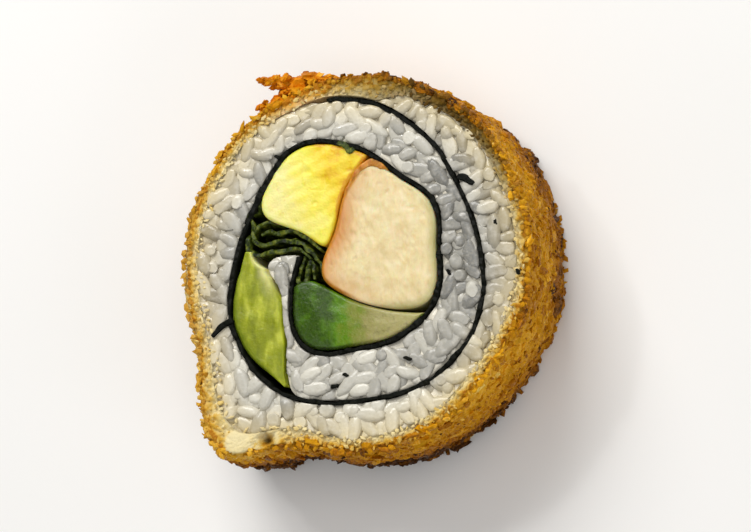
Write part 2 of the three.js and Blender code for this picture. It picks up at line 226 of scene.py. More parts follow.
def rice_outer(turn):
    """The inner face of the next turn, or the coat; thin on the curl, with a bead at the end."""
    turn = np.asarray(turn, float)
    to_sheet = nori_radius(np.minimum(turn + 360, NORI_END)) - NORI_HALF
    past_end = np.where(turn > NORI_END - 360, soft_step(turn, *SHEET_LAP), 0)
    band = to_sheet + (coat_inner(turn) - to_sheet) * past_end
    bead = 3.2 * lone_hill(turn, 188, 12)
    thin = rice_inner(turn) + 0.9 + bead
    return thin + (band - thin) * soft_step(turn, *CURL_OPENS)


def around(angle, radius, z):
    """Points at an angle and a distance from the roll's centre: cosine, sine and height."""
    a = np.radians(angle)
    x, y, z = np.broadcast_arrays(radius * np.cos(a), radius * np.sin(a), z)
    return np.stack([x, y, z], -1)


def angle_of(points):
    """The other way: the angle whose tangent is y over x, from -180 to 180 degrees."""
    return np.degrees(np.arctan2(points[..., 1], points[..., 0]))


def distance_of(points, place=(0, 0)):
    """The distance in the plan from the roll's centre, or from another place."""
    return np.hypot(points[..., 0] - place[0], points[..., 1] - place[1])


turns = np.linspace(260, 460, 50)
print(f"inner rice band {np.mean(rice_outer(turns) - rice_inner(turns)):.1f} mm wide")

# %% [markdown]
# ## From grids to meshes
# Every surface here is a grid of points: rings along one way, points round each ring the
# other way. One function joins neighbouring rings by triangles. Rings that run in a circle
# close on themselves, and all others get a fan over each end, so no piece has a hole. A mesh
# whose enclosed volume comes out negative is inside out, and its triangles are turned round.

# %% Skin a grid of rings
def skin(rings, endless=False):
    """Joins ring i to ring i+1 by two triangles for each point, and fans over open ends."""
    count, across = rings.shape[:2]
    points = rings.reshape(-1, 3)
    i = np.arange(count if endless else count - 1)[:, None]
    j = np.arange(across)[None, :]
    here, there = i * across, (i + 1) % count * across
    after = (j + 1) % across
    quads = np.stack(np.broadcast_arrays(here + j, there + j, there + after, here + after), -1)
    quads = quads.reshape(-1, 4)
    faces = [quads[:, [0, 1, 2]], quads[:, [0, 2, 3]]]
    if not endless:
        ends = rings[[0, -1]].mean(axis=1)
        points = np.vstack([points, ends])
        edge = np.stack([np.arange(across), (np.arange(across) + 1) % across], -1)
        last = (count - 1) * across
        middle = np.full((across, 1), count * across)
        faces.append(np.hstack([middle, edge]))
        faces.append(np.hstack([middle + 1, edge[:, ::-1] + last]))
    faces = np.vstack(faces)
    a, b, c = (points[faces[:, k]] for k in range(3))
    volume = np.sum(np.cross(a, b) * c)
    return points, faces if volume > 0 else faces[:, ::-1]


def with_ends(marks, endless=False):
    """Each mark's values in skin()'s order, with the mean of the end ring for each fan."""
    return {name: np.append(values, [] if endless else [values[0].mean(), values[-1].mean()])
            for name, values in marks.items()}


def add_piece(name, points, faces, material, node, slot, marks=None, smooth=True):
    """Makes a mesh object at the origin from points in mm about the roll's centre. Marks are
    numbers kept for each point, which the material reads by name."""
    mesh = bpy.data.meshes.new(name)
    mesh.vertices.add(len(points))
    mesh.vertices.foreach_set("co", ((points + ROLL_CENTRE) * MM).astype(np.float32).ravel())
    mesh.loops.add(faces.size)
    mesh.loops.foreach_set("vertex_index", faces.astype(np.int32).ravel())
    mesh.polygons.add(len(faces))
    mesh.polygons.foreach_set("loop_start", np.arange(0, faces.size, 3, dtype=np.int32))
    mesh.polygons.foreach_set("use_smooth", np.full(len(faces), smooth))
    mesh.update(calc_edges=True)
    for mark, values in (marks or {}).items():
        layer = mesh.attributes.new(mark, "FLOAT", "POINT")
        layer.data.foreach_set("value", np.asarray(values, np.float32).ravel())
    mesh.materials.append(material)
    piece = bpy.data.objects.new(name, mesh)
    bpy.context.scene.collection.objects.link(piece)
    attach(piece, "root")
    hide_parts(node)
    print(f"{name}: {len(faces)} triangles")


# %% [markdown]
# ## Repeating a small shape
# Rice grains and breadcrumbs are one small ball, copied, stretched, turned and shaken. All
# copies of a kind are one mesh, because thousands of objects would be slow. The ball is the
# usual grid: rings from pole to pole. Places come from dart throwing: many random places are
# tried in turn, and one is kept if no kept place is too near.

# %% Balls, turns and scattering
def ball(around_count, ring_count):
    """A unit ball as directions: latitude by latitude, cosine and sine of longitude times the
    cosine of latitude, with one point at each pole. Its faces come from skin()."""
    latitude = np.radians(np.linspace(-90, 90, ring_count + 2)[1:-1])[:, None]
    longitude = np.radians(np.arange(around_count) * 360 / around_count)[None, :]
    x = np.cos(latitude) * np.cos(longitude)
    y = np.cos(latitude) * np.sin(longitude)
    z = np.sin(latitude) + 0 * longitude
    points, faces = skin(np.stack([x, y, z], -1))
    points[-2:] = [[0, 0, -1], [0, 0, 1]]
    return points, faces


def turned(spin, nod):
    """One rotation for each pair of angles: first a nod about X, then a spin about Z."""
    cs, ss, cn, sn = np.cos(spin), np.sin(spin), np.cos(nod), np.sin(nod)
    zero = np.zeros_like(spin)
    rows = [[cs, -ss * cn, ss * sn], [ss, cs * cn, -cs * sn], [zero, sn, cn]]
    return np.stack([np.stack(row, -1) for row in rows], -2)


def copies(shape, faces, matrices, places):
    """Every copy's points: its own matrix times the shape's points, plus its place. `shape`
    is one set of points, or one set for each copy."""
    shape = np.broadcast_to(shape, (len(places),) + shape.shape[-2:])
    points = np.einsum("nij,nmj->nmi", matrices, shape) + places[:, None, :]
    offsets = (np.arange(len(places)) * shape.shape[-2])[:, None, None]
    return points, (faces[None] + offsets).reshape(-1, 3)


def thrown(candidates, spacing):
    """Indices of the candidates that keep `spacing` mm from every one kept before them."""
    kept = np.empty((0, 3))
    chosen = []
    spacing = np.broadcast_to(spacing, len(candidates))
    for index, place in enumerate(candidates):
        if not len(kept) or np.min(np.sum((kept - place) ** 2, 1)) > spacing[index] ** 2:
            kept = np.vstack([kept, place])
            chosen.append(index)
    return np.array(chosen)


for sizes in ((10, 9), (8, 5), (5, 3)):
    print(f"a ball of {sizes[1]} rings of {sizes[0]} points has {len(ball(*sizes)[1])} triangles")

# %% [markdown]
# ## Painting
# A material is a small tree of shader nodes. These helpers keep each tree short: one adds a
# node and plugs its inputs, the others are the patterns used again and again. Patterns read
# Object coordinates, which are metres, so a speckle of a given size in millimetres has a scale
# of a thousand over that size. Marks put in the meshes say where a surface is browned or cut,
# and where shade or a glow is painted into its colour.

# %% Shader helpers
def rgb(red, green, blue):
    """A screen colour from 0 to 255 as the linear light that a shader wants."""
    screen = np.array([red, green, blue]) / 255
    linear = np.where(screen <= 0.04045, screen / 12.92, ((screen + 0.055) / 1.055) ** 2.4)
    return (*linear.tolist(), 1.0)


def add(tree, kind, inputs=None, **settings):
    """Adds a shader node, sets its own settings, and sets or links each of its inputs."""
    made = tree.nodes.new("ShaderNode" + kind)
    for key, value in settings.items():
        setattr(made, key, value)
    for key, value in (inputs or {}).items():
        if isinstance(value, bpy.types.NodeSocket):
            tree.links.new(value, made.inputs[key])
        else:
            made.inputs[key].default_value = value
    return made


def mark(tree, name):
    """A number kept in the mesh under this name."""
    return add(tree, "Attribute", attribute_name=name).outputs["Fac"]


def speckle(tree, size, detail=3.0, rough=0.55, stretch=(1, 1, 1)):
    """Noise from 0 to 1 with features of `size` mm, pulled out along an axis by stretch."""
    place = add(tree, "TexCoord").outputs["Object"]
    scaled = add(tree, "Mapping", {"Vector": place, "Scale": stretch}).outputs[0]
    inputs = {"Vector": scaled, "Scale": 1 / (size * MM), "Detail": detail, "Roughness": rough}
    return add(tree, "TexNoise", inputs).outputs[0]


def math_node(tree, operation, *values):
    """One sum or product of sockets and numbers."""
    return add(tree, "Math", dict(enumerate(values)), operation=operation).outputs[0]


def remap(tree, value, low, high, to_low=0.0, to_high=1.0):
    """Stretches low..high to to_low..to_high in a straight line, and holds it beyond."""
    inputs = {0: value, 1: low, 2: high, 3: to_low, 4: to_high}
    return add(tree, "MapRange", inputs).outputs[0]


def ramp(tree, value, *stops):
    """Colours by a value: each stop is a position and a colour."""
    made = add(tree, "ValToRGB", {0: value})
    elements = made.color_ramp.elements
    while len(elements) < len(stops):
        elements.new(0.5)
    for element, (position, colour) in zip(elements, stops):
        element.position = position
        element.color = colour
    return made.outputs[0]


def mix(tree, share, first, second):
    """The first colour with a share of the second. The inputs go by number, because each kind
    of value has its own sockets of the same names."""
    made = add(tree, "Mix", data_type="RGBA")
    for key, value in ((0, share), (6, first), (7, second)):
        if isinstance(value, bpy.types.NodeSocket):
            tree.links.new(value, made.inputs[key])
        else:
            made.inputs[key].default_value = value
    return made.outputs[2]


def bump(tree, height, distance):
    """Shades the surface as if the value stood `distance` mm high."""
    inputs = {"Height": height, "Distance": distance * MM, "Strength": 1.0}
    return add(tree, "Bump", inputs).outputs[0]


def start_paint(name, roughness, gloss=0.3, depth=0.0, scatter=(1.0, 0.6, 0.35)):
    """A new Principled material. depth is how far light wanders inside, in mm."""
    material = bpy.data.materials.new(name)
    material.use_nodes = True
    tree = material.node_tree
    shader = tree.nodes["Principled BSDF"]
    shader.inputs["Roughness"].default_value = roughness
    shader.inputs["Specular IOR Level"].default_value = gloss
    if depth:
        shader.inputs["Subsurface Weight"].default_value = 1.0
        shader.inputs["Subsurface Radius"].default_value = scatter
        shader.inputs["Subsurface Scale"].default_value = depth * MM
    return material, tree, shader


def finish_paint(tree, shader, colour, roughness=None, normal=None):
    """Plugs the patterns into the shader."""
    tree.links.new(colour, shader.inputs["Base Color"])
    if roughness is not None:
        tree.links.new(roughness, shader.inputs["Roughness"])
    if normal is not None:
        tree.links.new(normal, shader.inputs["Normal"])


print(f"a screen grey of 128 is {rgb(128, 128, 128)[0]:.2f} as light")

# %% [markdown]
# ## Seaweed
# The sheet is dried, pressed seaweed: almost black, a little green where light comes through,
# softened by the rice. At the cut its edge stands as a thin, uneven line. It is a long strip
# carried along the spiral: across the strip run its two faces and its cut edges, and noise
# moves the middle and the thickness. Near the lower right the real line almost breaks, so the
# sheet thins there between two thicker folds, and it is bunched at the upper left. Two small
# torn tabs leave the outer turn, and a few dark scraps stand on the rice. The tabs
# and scraps are short ribbons on edge, and the same ribbon serves later for the folded leaf.

# %% Seaweed material
def nori_paint():
    """Nearly black grain, with patches a little browner."""
    material, tree, shader = start_paint("seaweed", 0.62, 0.08)
    grain = speckle(tree, 0.5, 5)
    patch = speckle(tree, 3.0, 2)
    colour = ramp(tree, grain, (0.3, rgb(7, 8, 6)), (0.62, rgb(16, 18, 11)), (0.8, rgb(34, 36, 20)))
    colour = mix(tree, remap(tree, patch, 0.55, 0.8, 0, 0.4), colour, rgb(30, 29, 16))
    finish_paint(tree, shader, colour, remap(tree, grain, 0.3, 0.8, 0.3, 0.6), bump(tree, grain, 0.12))
    return material


NORI_PAINT = nori_paint()
print("seaweed paint:", len(NORI_PAINT.node_tree.nodes), "shader nodes")


# %% Seaweed strip
def strip_section(levels, z_low, z_high, across=3):
    """One closed loop over a strip's section, as (side from -1 to 1, height from 0 to 1): up
    the inner face, over the top, down the outer face and back under."""
    rise = np.linspace(0, 1, levels)
    over = np.linspace(-1, 1, across + 2)[1:-1]
    side = np.concatenate([np.full(levels, -1.0), over, np.full(levels, 1.0), over[::-1]])
    height = np.concatenate([rise, np.ones(across), rise[::-1], np.zeros(across)])
    return side, z_low + (z_high - z_low) * height, height


NORI_STEP = 0.45  # degrees from ring to ring
NORI_FOLDS = ((311, 0.21, 3), (332, 0.18, 3), (390, 0.18, 5), (504, 0.3, 13))  # at, extra half, width
NORI_THIN_AT, NORI_THIN_SHARE, NORI_THIN_WIDTH = 321, 0.55, 5


def nori_strip():
    """The spiral strip: radius is the sheet's middle, moved by noise, plus the side times half
    the thickness. That has noise and a bell for each fold, and less where the line almost
    breaks. The cut edges are narrower at their corners and waver by a few tenths of a
    millimetre."""
    turn = np.arange(NORI_START, NORI_END + 0.2, NORI_STEP)[:, None]
    side, z, height = strip_section(11, 0.1, SLICE_HEIGHT - 0.15)
    base = around(turn, nori_radius(turn), z[None])
    folded = sum(extra * lone_hill(turn, at, width) for at, extra, width in NORI_FOLDS)
    thinned = 1 - NORI_THIN_SHARE * lone_hill(turn, NORI_THIN_AT, NORI_THIN_WIDTH)
    half = NORI_HALF * (1 + 0.75 * soft_noise(base, 1.5, 3, 3)) * thinned + folded
    middle = nori_radius(turn) + 0.22 * soft_noise(base, 3.0, 4) + 0.16 * soft_noise(base, 0.8, 5)
    at_corner = (np.abs(side) > 0.9) * ((height > 0.999) | (height < 0.001))
    rounded = 1 - 0.35 * at_corner
    wave = 0.4 * soft_noise(base, 0.8, 6, 2)
    near_cut = np.abs(height - 0.5) > 0.4
    z = z[None] + np.where(height > 0.5, wave, np.abs(wave)) * near_cut
    return around(turn, middle + side * half * rounded, z)


def ribbon(path, half, seed, stations=60, low=0.2, high=SLICE_HEIGHT - 0.3, ripple=0.15, ragged=0.3):
    """A thin sheet on edge along a smooth path. Each station's section is moved aside by its
    side times half the thickness, which tapers at both ends by a power of a sine, and by a
    ripple: noise and a sine, one wave in 8 mm of height, that moves on by one and a half waves
    from end to end. The upper edge is ragged by noise."""
    share = np.linspace(0, 1, stations)
    path = through_knots(np.array(path, float), share * (len(path) - 1))
    along = np.gradient(path, axis=0)
    along /= np.linalg.norm(along, axis=1, keepdims=True)
    aside = np.stack([-along[:, 1], along[:, 0]], -1)
    side, z, height = strip_section(max(4, int((high - low) / 1.2)), low, high)
    taper = half * np.sin(np.pi * (0.05 + 0.9 * share)) ** 0.4
    base = np.concatenate([np.broadcast_to(path[:, None], (stations, len(z), 2)),
                           np.broadcast_to(z[None, :, None], (stations, len(z), 1))], -1)
    swing = 0.5 * np.sin(2 * np.pi * (z[None] / 8.0 + 1.5 * share[:, None]))
    swing = swing + soft_noise(base, 1.3, seed, 2)
    thick = side[None] * taper[:, None] * (1 + 0.3 * soft_noise(base, 0.9, seed + 1))
    flat = path[:, None] + aside[:, None] * (thick + ripple * swing)[..., None]
    top = z + ragged * soft_noise(base, 1.0, seed + 2, 2) * (height > 0.8)
    return np.concatenate([flat, top[..., None]], -1)


def joined(parts):
    """Several skinned grids as one mesh: faces of each part are shifted past the earlier."""
    points, faces, shift = [], [], 0
    for part_points, part_faces in parts:
        points.append(part_points)
        faces.append(part_faces + shift)
        shift += len(part_points)
    return np.vstack(points), np.vstack(faces)


# %% Tabs and scraps
TABS = (((-18.3, -9.4), (-19.9, -10.2), (-21.5, -11.7)), ((15.2, 10.3), (16.4, 10.0), (17.6, 9.1)))
SCRAPS = (((-1.8, -17.6), (-0.9, -17.9)), ((-3.6, -19.5), (-2.5, -19.2)), ((7.2, -15.4), (8.4, -15.8)),
          ((13.6, -3.0), (14.2, -3.8)), ((23.9, -3.2), (24.3, -4.0)), ((20.6, 4.1), (21.0, 3.2)),
          ((-12.1, 14.3), (-11.3, 13.9)))
tab_form = {"half": 0.46, "seed": 7, "stations": 16, "low": 18.5, "high": 22.15, "ripple": 0.08,
            "ragged": 0.2}
scrap_form = {"half": 0.24, "seed": 9, "stations": 8, "low": 21.3, "high": 22.08, "ripple": 0.1,
              "ragged": 0.1}
seaweed = joined([skin(nori_strip())] + [skin(ribbon(tab, **tab_form)) for tab in TABS]
                 + [skin(ribbon(scrap, **scrap_form)) for scrap in SCRAPS])
add_piece("nori_sheet", *seaweed, NORI_PAINT, "nori", "seaweed")

# %% [markdown]
# ## Rice
# Cooked sushi rice is a mass of soft, sticky grains about 5 mm long and a little over 2 mm
# thick. The knife has cut those at both faces, so some show their length and some only a round
# end, all level with the cut. A bump map could fake them, but the gaps between grains have real
# depth. So a lumpy bed fills the strip and grains are pressed into it. Each grain is a stretched
# ball, fuller than an ellipse and a little bent. Points past the knife's height are eased down
# to it, and points past the seaweed or the coat are drawn back, as a real grain is squeezed.
# Light wanders about inside real rice, so its gaps glow. Scattering inside grains that cross
# each other leaves dark spots, so the paint brightens what is sunk between the grains.

# %% Rice material
def rice_paint():
    """Cool to warm white by `warm`, darker by `shade`, random tone and painted shade, lighter
    down between the grains by `sunk`, a painted glow of light scattered inside the rice, with
    pale clouds, fine dull specks and a wet coat."""
    material, tree, shader = start_paint("sticky_rice", 0.4, 0.35)
    shader.inputs["Coat Weight"].default_value = 0.6
    shader.inputs["Coat Roughness"].default_value = 0.14
    cool = ramp(tree, mark(tree, "shade"), (0.0, rgb(126, 125, 120)), (1.0, rgb(217, 213, 199)))
    warm = ramp(tree, mark(tree, "shade"), (0.0, rgb(162, 146, 106)), (1.0, rgb(226, 210, 168)))
    colour = mix(tree, mark(tree, "warm"), cool, warm)
    cloud = speckle(tree, 1.1, 3)
    colour = mix(tree, remap(tree, cloud, 0.5, 0.75, 0, 0.35), colour, rgb(240, 236, 226))
    # painted glow between the grains, for light that scatters inside real rice
    colour = mix(tree, mark(tree, "sunk"), colour, rgb(246, 238, 218))
    fine = speckle(tree, 0.35, 3)
    colour = mix(tree, remap(tree, fine, 0.35, 0.6, 0.22, 0), colour, rgb(186, 176, 150))
    finish_paint(tree, shader, colour, remap(tree, cloud, 0.3, 0.7, 0.26, 0.48), bump(tree, fine, 0.06))
    return material


RICE_PAINT = rice_paint()
OIL_REACH = 4.5  # mm inwards from the coat


def warmth(points):
    """How far the frying oil has tinted the rice: 1 beside the coat, 0 in the inner band."""
    from_coat = coat_inner(angle_of(points)) - distance_of(points)
    return np.clip(1.05 - from_coat / OIL_REACH, 0, 1)


# %% Rice bed
BED_DEPTH = 0.75  # below both cuts


def rice_bed():
    """A strip between the rice's two radii. Both faces sink below the cut by a lumpy depth."""
    turn = np.arange(RICE_START, RICE_END + 0.5, 1.0)[:, None]
    side, z, height = strip_section(5, BED_DEPTH, SLICE_HEIGHT - BED_DEPTH, across=11)
    inner, outer = rice_inner(turn), rice_outer(turn)
    radius = (inner + outer) / 2 + side * (outer - inner) / 2
    base = around(turn, radius, z[None])
    lump = 0.35 * soft_noise(base, 1.3, 12, 2) * (np.abs(height - 0.5) > 0.45)
    return around(turn, radius, z + np.where(height > 0.5, lump, -lump))


bed = rice_bed()
# the bed lies between the grains, so its `sunk` gives it the painted glow too
bed_marks = {"warm": warmth(bed), "shade": np.full(bed.shape[:2], 0.7),
             "sunk": np.full(bed.shape[:2], 0.6)}
add_piece("rice_bed", *skin(bed), RICE_PAINT, "rice", "sushi_rice", with_ends(bed_marks))

# %% Rice grains
GRAIN_LONG, GRAIN_THICK = 5.0, 2.25
GRAIN_FLAT = 0.92  # the second thickness as a share of the first
KNIFE_SOFTNESS = 0.12  # mm over which a grain's cut is rounded


def grain_shape():
    """A ball made fuller: its width to the power 0.8 and its height to the power 1.15. It is
    stretched to the grain's size and bent sideways by the square of the height."""
    points, faces = ball(10, 9)
    along = np.sign(points[:, 2]) * np.abs(points[:, 2]) ** 1.15
    width = distance_of(points) ** 0.8 * GRAIN_THICK / 2
    angle = np.arctan2(points[:, 1], points[:, 0])
    x = width * np.cos(angle) + 0.16 * (along**2 - 0.3)
    y = width * np.sin(angle) * GRAIN_FLAT
    return np.stack([x, y, along * GRAIN_LONG / 2], -1), faces


def squeezed(points, turns, level, face):
    """Draws each grain's points back inside the strip, more loosely where it meets the coat,
    and eases those past the knife's level down to it: the softened minimum, level minus the
    log of one plus an exponential. A little noise roughens the cut."""
    angle = angle_of(points)
    turn = angle + 360 * np.round((turns[:, None] - angle) / 360)
    turn = np.clip(turn, RICE_START - 0.5, RICE_END)
    loose = 0.7 * soft_noise(points, 1.8, 43) * soft_step(turn, 468, 474)
    radius = np.clip(distance_of(points), rice_inner(turn) - 0.02, rice_outer(turn) + 0.1 + loose)
    past = (points[..., 2] - level[:, None]) * face
    z = level[:, None] - face * KNIFE_SOFTNESS * np.logaddexp(0, -past / KNIFE_SOFTNESS)
    z = z + 0.05 * soft_noise(points, 0.9, 41) * (past > -0.3)
    return around(turn, radius, np.maximum(z, 0.0))


def grain_shade(random, turn):
    """How light each grain is: a random share, with painted shade at the right and on the left
    of the inner band, and painted light below in the outer band."""
    outer = turn > SHEET_LAP[1]
    # painted shade at the right and the left, and painted light below in the outer band
    darker = np.where(outer, 0.4, 0.6) * hill(turn, 5, 50) + 0.2 * hill(turn, 180, 40)
    darker = darker - np.where(outer, 0.25, 0) * hill(turn, 275, 45)
    return np.clip(random.normal(0.7, 0.25, len(turn)) - darker, 0, 1)


def grain_layer(random, depth, spacing, face):
    """Grains whose middles lie `depth` mm inside a cut face: thrown over the strip in step with
    its area, nodding from flat to nearly upright, and each cut by the knife at its own level."""
    turn = random.uniform(RICE_START + 1, RICE_END - 1, 9000)
    band = rice_outer(turn) - rice_inner(turn)
    keep = random.uniform(0, 160, len(turn)) < band * rice_inner(turn)
    turn, band = turn[keep], band[keep]
    across = random.uniform(0.12, 0.88, len(turn))
    cut = SLICE_HEIGHT if face > 0 else 0.0
    places = around(turn, rice_inner(turn) + across * band, cut - face * depth)
    chosen = thrown(places, spacing)
    places, turn = places[chosen], turn[chosen]
    count = len(chosen)
    spin = random.uniform(0, 2 * np.pi, count)
    nod = np.where(random.uniform(size=count) < 0.17, random.uniform(0.1, 0.7, count),
                   random.uniform(1.15, 1.9, count))
    size = random.uniform(0.8, 1.08, count)[:, None, None]
    shape, faces = grain_shape()
    shaken = shape * random.uniform(0.93, 1.07, (count, len(shape), 1))
    shaken[..., 2] *= random.uniform(0.7, 1.1, (count, 1))
    points, faces = copies(shaken, faces, turned(spin, nod) * size, places)
    level = np.maximum(cut + face * random.uniform(-0.45, 0.14, count), 0.02)
    points = squeezed(points, turn, level, face)
    return points, faces, np.repeat(grain_shade(random, turn), len(shape))


# %% Press the grains in
random = np.random.default_rng(23)
GRAIN_LAYERS = ((0.6, 1.5, 1), (1.4, 1.8, 1), (0.6, 1.7, -1))  # depth, spacing, 1 for the upper cut
layers = [grain_layer(random, *layer) for layer in GRAIN_LAYERS]
grain_points, grain_faces = joined([(points.reshape(-1, 3), faces) for points, faces, _ in layers])
to_cut = np.minimum(SLICE_HEIGHT - grain_points[:, 2], grain_points[:, 2])
grain_marks = {"warm": warmth(grain_points),
               "shade": np.concatenate([shade for _, _, shade in layers]),
               # sunk: painted glow, more the deeper a point lies below the cut
               "sunk": 0.6 * soft_step(to_cut, 0.4, 1.5)}
print("rice grains:", sum(len(points) for points, _, _ in layers))
add_piece("rice_grains", grain_points, grain_faces, RICE_PAINT, "rice", "sushi_rice", grain_marks)

# %% [markdown]
# ## Fried coat
# Batter holds breadcrumbs on the rice, and hot oil turns them gold, brown on the tips. At the
# cut the coat shows as a paler, crumbly band. Its body is one ring: a section carried round
# the outline. The side's relief has lumps of batter, leaning plates for the crumbs and cracks
# between them. The crust is darkest low on the near side and a little darker at the right and
# the upper right, both painted shade; it is pale and floury at the upper rim on the left, and
# orange by the seam. In the clumped corner the knife has met a smooth lump of batter and a
# small hole beside it. Sculpting by hand would look as good but could not be repeated or
# adjusted.

# %% Crust material
def crust_paint():
    """Gold to brown by the toast mark, which holds both how fried the crust is and painted shade,
    and pale inside to gold outside where `cut` is 1. One clump is `amber`."""
    material, tree, shader = start_paint("fried_crumb", 0.55, 0.1)
    fine = speckle(tree, 0.4, 4, 0.65)
    toast = math_node(tree, "ADD", mark(tree, "toast"), remap(tree, fine, 0.25, 0.75, -0.16, 0.16))
    crust = ramp(tree, toast, (0.0, rgb(248, 214, 110)), (0.25, rgb(238, 178, 38)),
                 (0.5, rgb(208, 146, 10)), (0.72, rgb(170, 105, 5)), (1.0, rgb(64, 34, 6)))
    depth = math_node(tree, "ADD", mark(tree, "depth"), remap(tree, fine, 0.25, 0.75, -0.12, 0.12))
    section = ramp(tree, depth, (0.0, rgb(238, 222, 172)), (0.45, rgb(228, 200, 124)),
                   (0.8, rgb(214, 166, 56)), (1.0, rgb(176, 112, 20)))
    section = mix(tree, mark(tree, "toast"), section, rgb(88, 64, 14))
    colour = mix(tree, mark(tree, "cut"), crust, section)
    colour = mix(tree, mark(tree, "amber"), colour, rgb(232, 134, 6))
    gloss = remap(tree, speckle(tree, 1.2, 2), 0.35, 0.7, 0.36, 0.66)
    finish_paint(tree, shader, colour, gloss, bump(tree, fine, 0.16))
    return material


CRUST_PAINT = crust_paint()
print("crust paint:", len(CRUST_PAINT.node_tree.nodes), "shader nodes")


# %% Coat relief and colour
def near_rim(angle, z, at, width, fall):
    """A bell round the slice times a bell down the side from the upper cut."""
    return hill(angle, at, width) * np.exp(-(((SLICE_HEIGHT - z) / fall) ** 2))


def coat_relief(points):
    """Height of the side in mm: broad lumps, plus two sizes of leaning plates, less a narrow
    crack between plates, plus fine grain. Space is first bent by noise, so no plate is even."""
    bent = points + 0.55 * np.stack([soft_noise(points, 1.8, 60 + k) for k in range(3)], -1)
    large, inside = plates(bent, 2.4, 11)
    small, _ = plates(bent, 1.1, 31)
    cracks = np.exp(-((inside / 0.13) ** 2))
    lumps = soft_noise(points, 6.0, 5)
    return 0.42 * lumps + 0.5 * large + 0.3 * small - 0.22 * cracks + 0.07 * soft_noise(points, 0.5, 8)


def browning_and_shade(points, relief):
    """Toast with painted shade, from 0 to 1: patches some millimetres wide, browner on crests and
    at the cut edge. Low on the side it is darker, most of all on the near side: painted shade. At
    the right and the upper right it is a little darker, also painted shade, and at the lower right
    a little lighter, painted light. At the upper rim on the left it is pale."""
    angle, z = angle_of(points), points[..., 2]
    patch = soft_noise(points, 8.0, 71, 3)
    # painted shade: darker low on the side, most of all on the near side
    low_shade_reach = 8.5 + 2.5 * hill(angle, 262, 34)
    low = np.exp(-((z / low_shade_reach) ** 2)) * (0.22 + 0.76 * hill(angle, 264, 46))
    # painted shade at the right, and painted light at the lower right
    right = 0.14 * hill(angle, 2, 26) - 0.08 * hill(angle, 322, 16)
    # the first bell is painted shade at the upper right; the second makes the left's upper rim pale
    rim = 0.16 * near_rim(angle, z, 55, 30, 9.0) - 0.3 * near_rim(angle, z, 192, 45, 6.0)
    edge = 0.1 * np.exp(-(((SLICE_HEIGHT - z) / 1.5) ** 2))
    return np.clip(0.45 + 0.34 * patch + 0.2 * relief + low + right + rim + edge, 0, 1)


def orange_tint(angle, z):
    """The crust is more orange beside the seam, near the upper cut: one bell times another."""
    return 0.35 * hill(angle, CLUMP_AT, 11) * np.exp(-(((z - 20) / 5.0) ** 2))


FLOURY_DEPTH = 0.75  # how far the floury tan goes towards the cut band's pale inside


def floury(points):
    """The share of the cut band's floury tan on the side: a bell about the upper rim on the
    left, broken into patches by noise."""
    rim = 0.9 * near_rim(angle_of(points), points[..., 2], 192, 44, 6.5)
    return rim * np.clip(0.75 + 0.8 * soft_noise(points, 4.0, 74, 2), 0, 1)


def cut_browning(angle):
    """The coat's cut band is brown through towards the upper right and pale elsewhere."""
    return 0.02 + 0.92 * hill(angle, 52, 34, 40)


def calm(angle, z):
    """The relief's share: full all round, but a little over a third at the left's upper rim."""
    return 1 - 0.62 * near_rim(angle, z, 187, 44, 5.0)


# %% Coat section
CUT_EDGE_ROUND = 0.45  # mm that both cut edges are drawn in
SECTION = (np.linspace(0, 1, 14, endpoint=False), np.linspace(0, 1, 76),
           np.linspace(1, 0, 14, endpoint=False)[1:], np.linspace(1, 0.08, 4))
BOTTOM, SIDE, TOP = range(3)  # and last the wall
ZONE = np.repeat(range(len(SECTION)), [len(part) for part in SECTION])


def coat_rim(angle):
    """Height of the upper cut edge, a little uneven round the slice."""
    a = np.radians(angle)
    return SLICE_HEIGHT - 0.05 + 0.14 * np.sin(5 * a) + 0.08 * np.sin(13 * a + 1)


def coat_side(angle, share):
    """Smooth side before relief: the outline, swollen by a half sine up the height, with the
    two cut edges drawn in by a small round."""
    swell = COAT_BARREL * np.sin(np.pi * share)
    low_edge, high_edge = np.clip(1 - share / 0.04, 0, 1), np.clip(1 - (1 - share) / 0.03, 0, 1)
    drawn_in = CUT_EDGE_ROUND * (low_edge**2 + high_edge**2)
    return around(angle, coat_outer(angle) + swell - drawn_in, share * coat_rim(angle))


def coat_section(angle):
    """Smooth rings: out along the bottom, up the side, in along the top cut and down the wall
    that lies on the rice."""
    bottom, side, top, wall = SECTION
    inner, rim = coat_inner(angle), coat_rim(angle)
    width = coat_outer(angle) - CUT_EDGE_ROUND - inner
    return np.concatenate([around(angle, inner + width * bottom, 0.0), coat_side(angle, side[None]),
                           around(angle, inner + width * top, rim),
                           around(angle, inner, wall * rim)], axis=1)


def by_zone(*values):
    """One value for each point of the section, from a value or an array for each of its parts."""
    return np.concatenate([value + 0 * part for value, part in zip(values, SECTION)])


print("coat section:", len(ZONE), "points, of which", len(SECTION[SIDE]), "up the side")

# %% Coat body
LUMP_AT, LUMP_WIDE = (-17.4, -27.4), 2.2  # smooth batter in the coat's corner
PIT_AT, PIT_WIDE, PIT_RIM = (-13.3, -26.9), 0.9, 1.7  # a small hole, and how far out its rim is


def corner_marks(base):
    """On the upper cut: the batter lump as half a circle, the pit as a bell, and the pit's
    raised rim as a bell about a ring."""
    to_pit, on_top = distance_of(base, PIT_AT), ZONE == TOP
    lump = np.sqrt(np.clip(1 - (distance_of(base, LUMP_AT) / LUMP_WIDE) ** 2, 0, 1)) * on_top
    pit = np.exp(-((to_pit / PIT_WIDE) ** 2)) * on_top
    return lump, pit, np.exp(-(((to_pit - PIT_RIM) / 0.6) ** 2)) * on_top


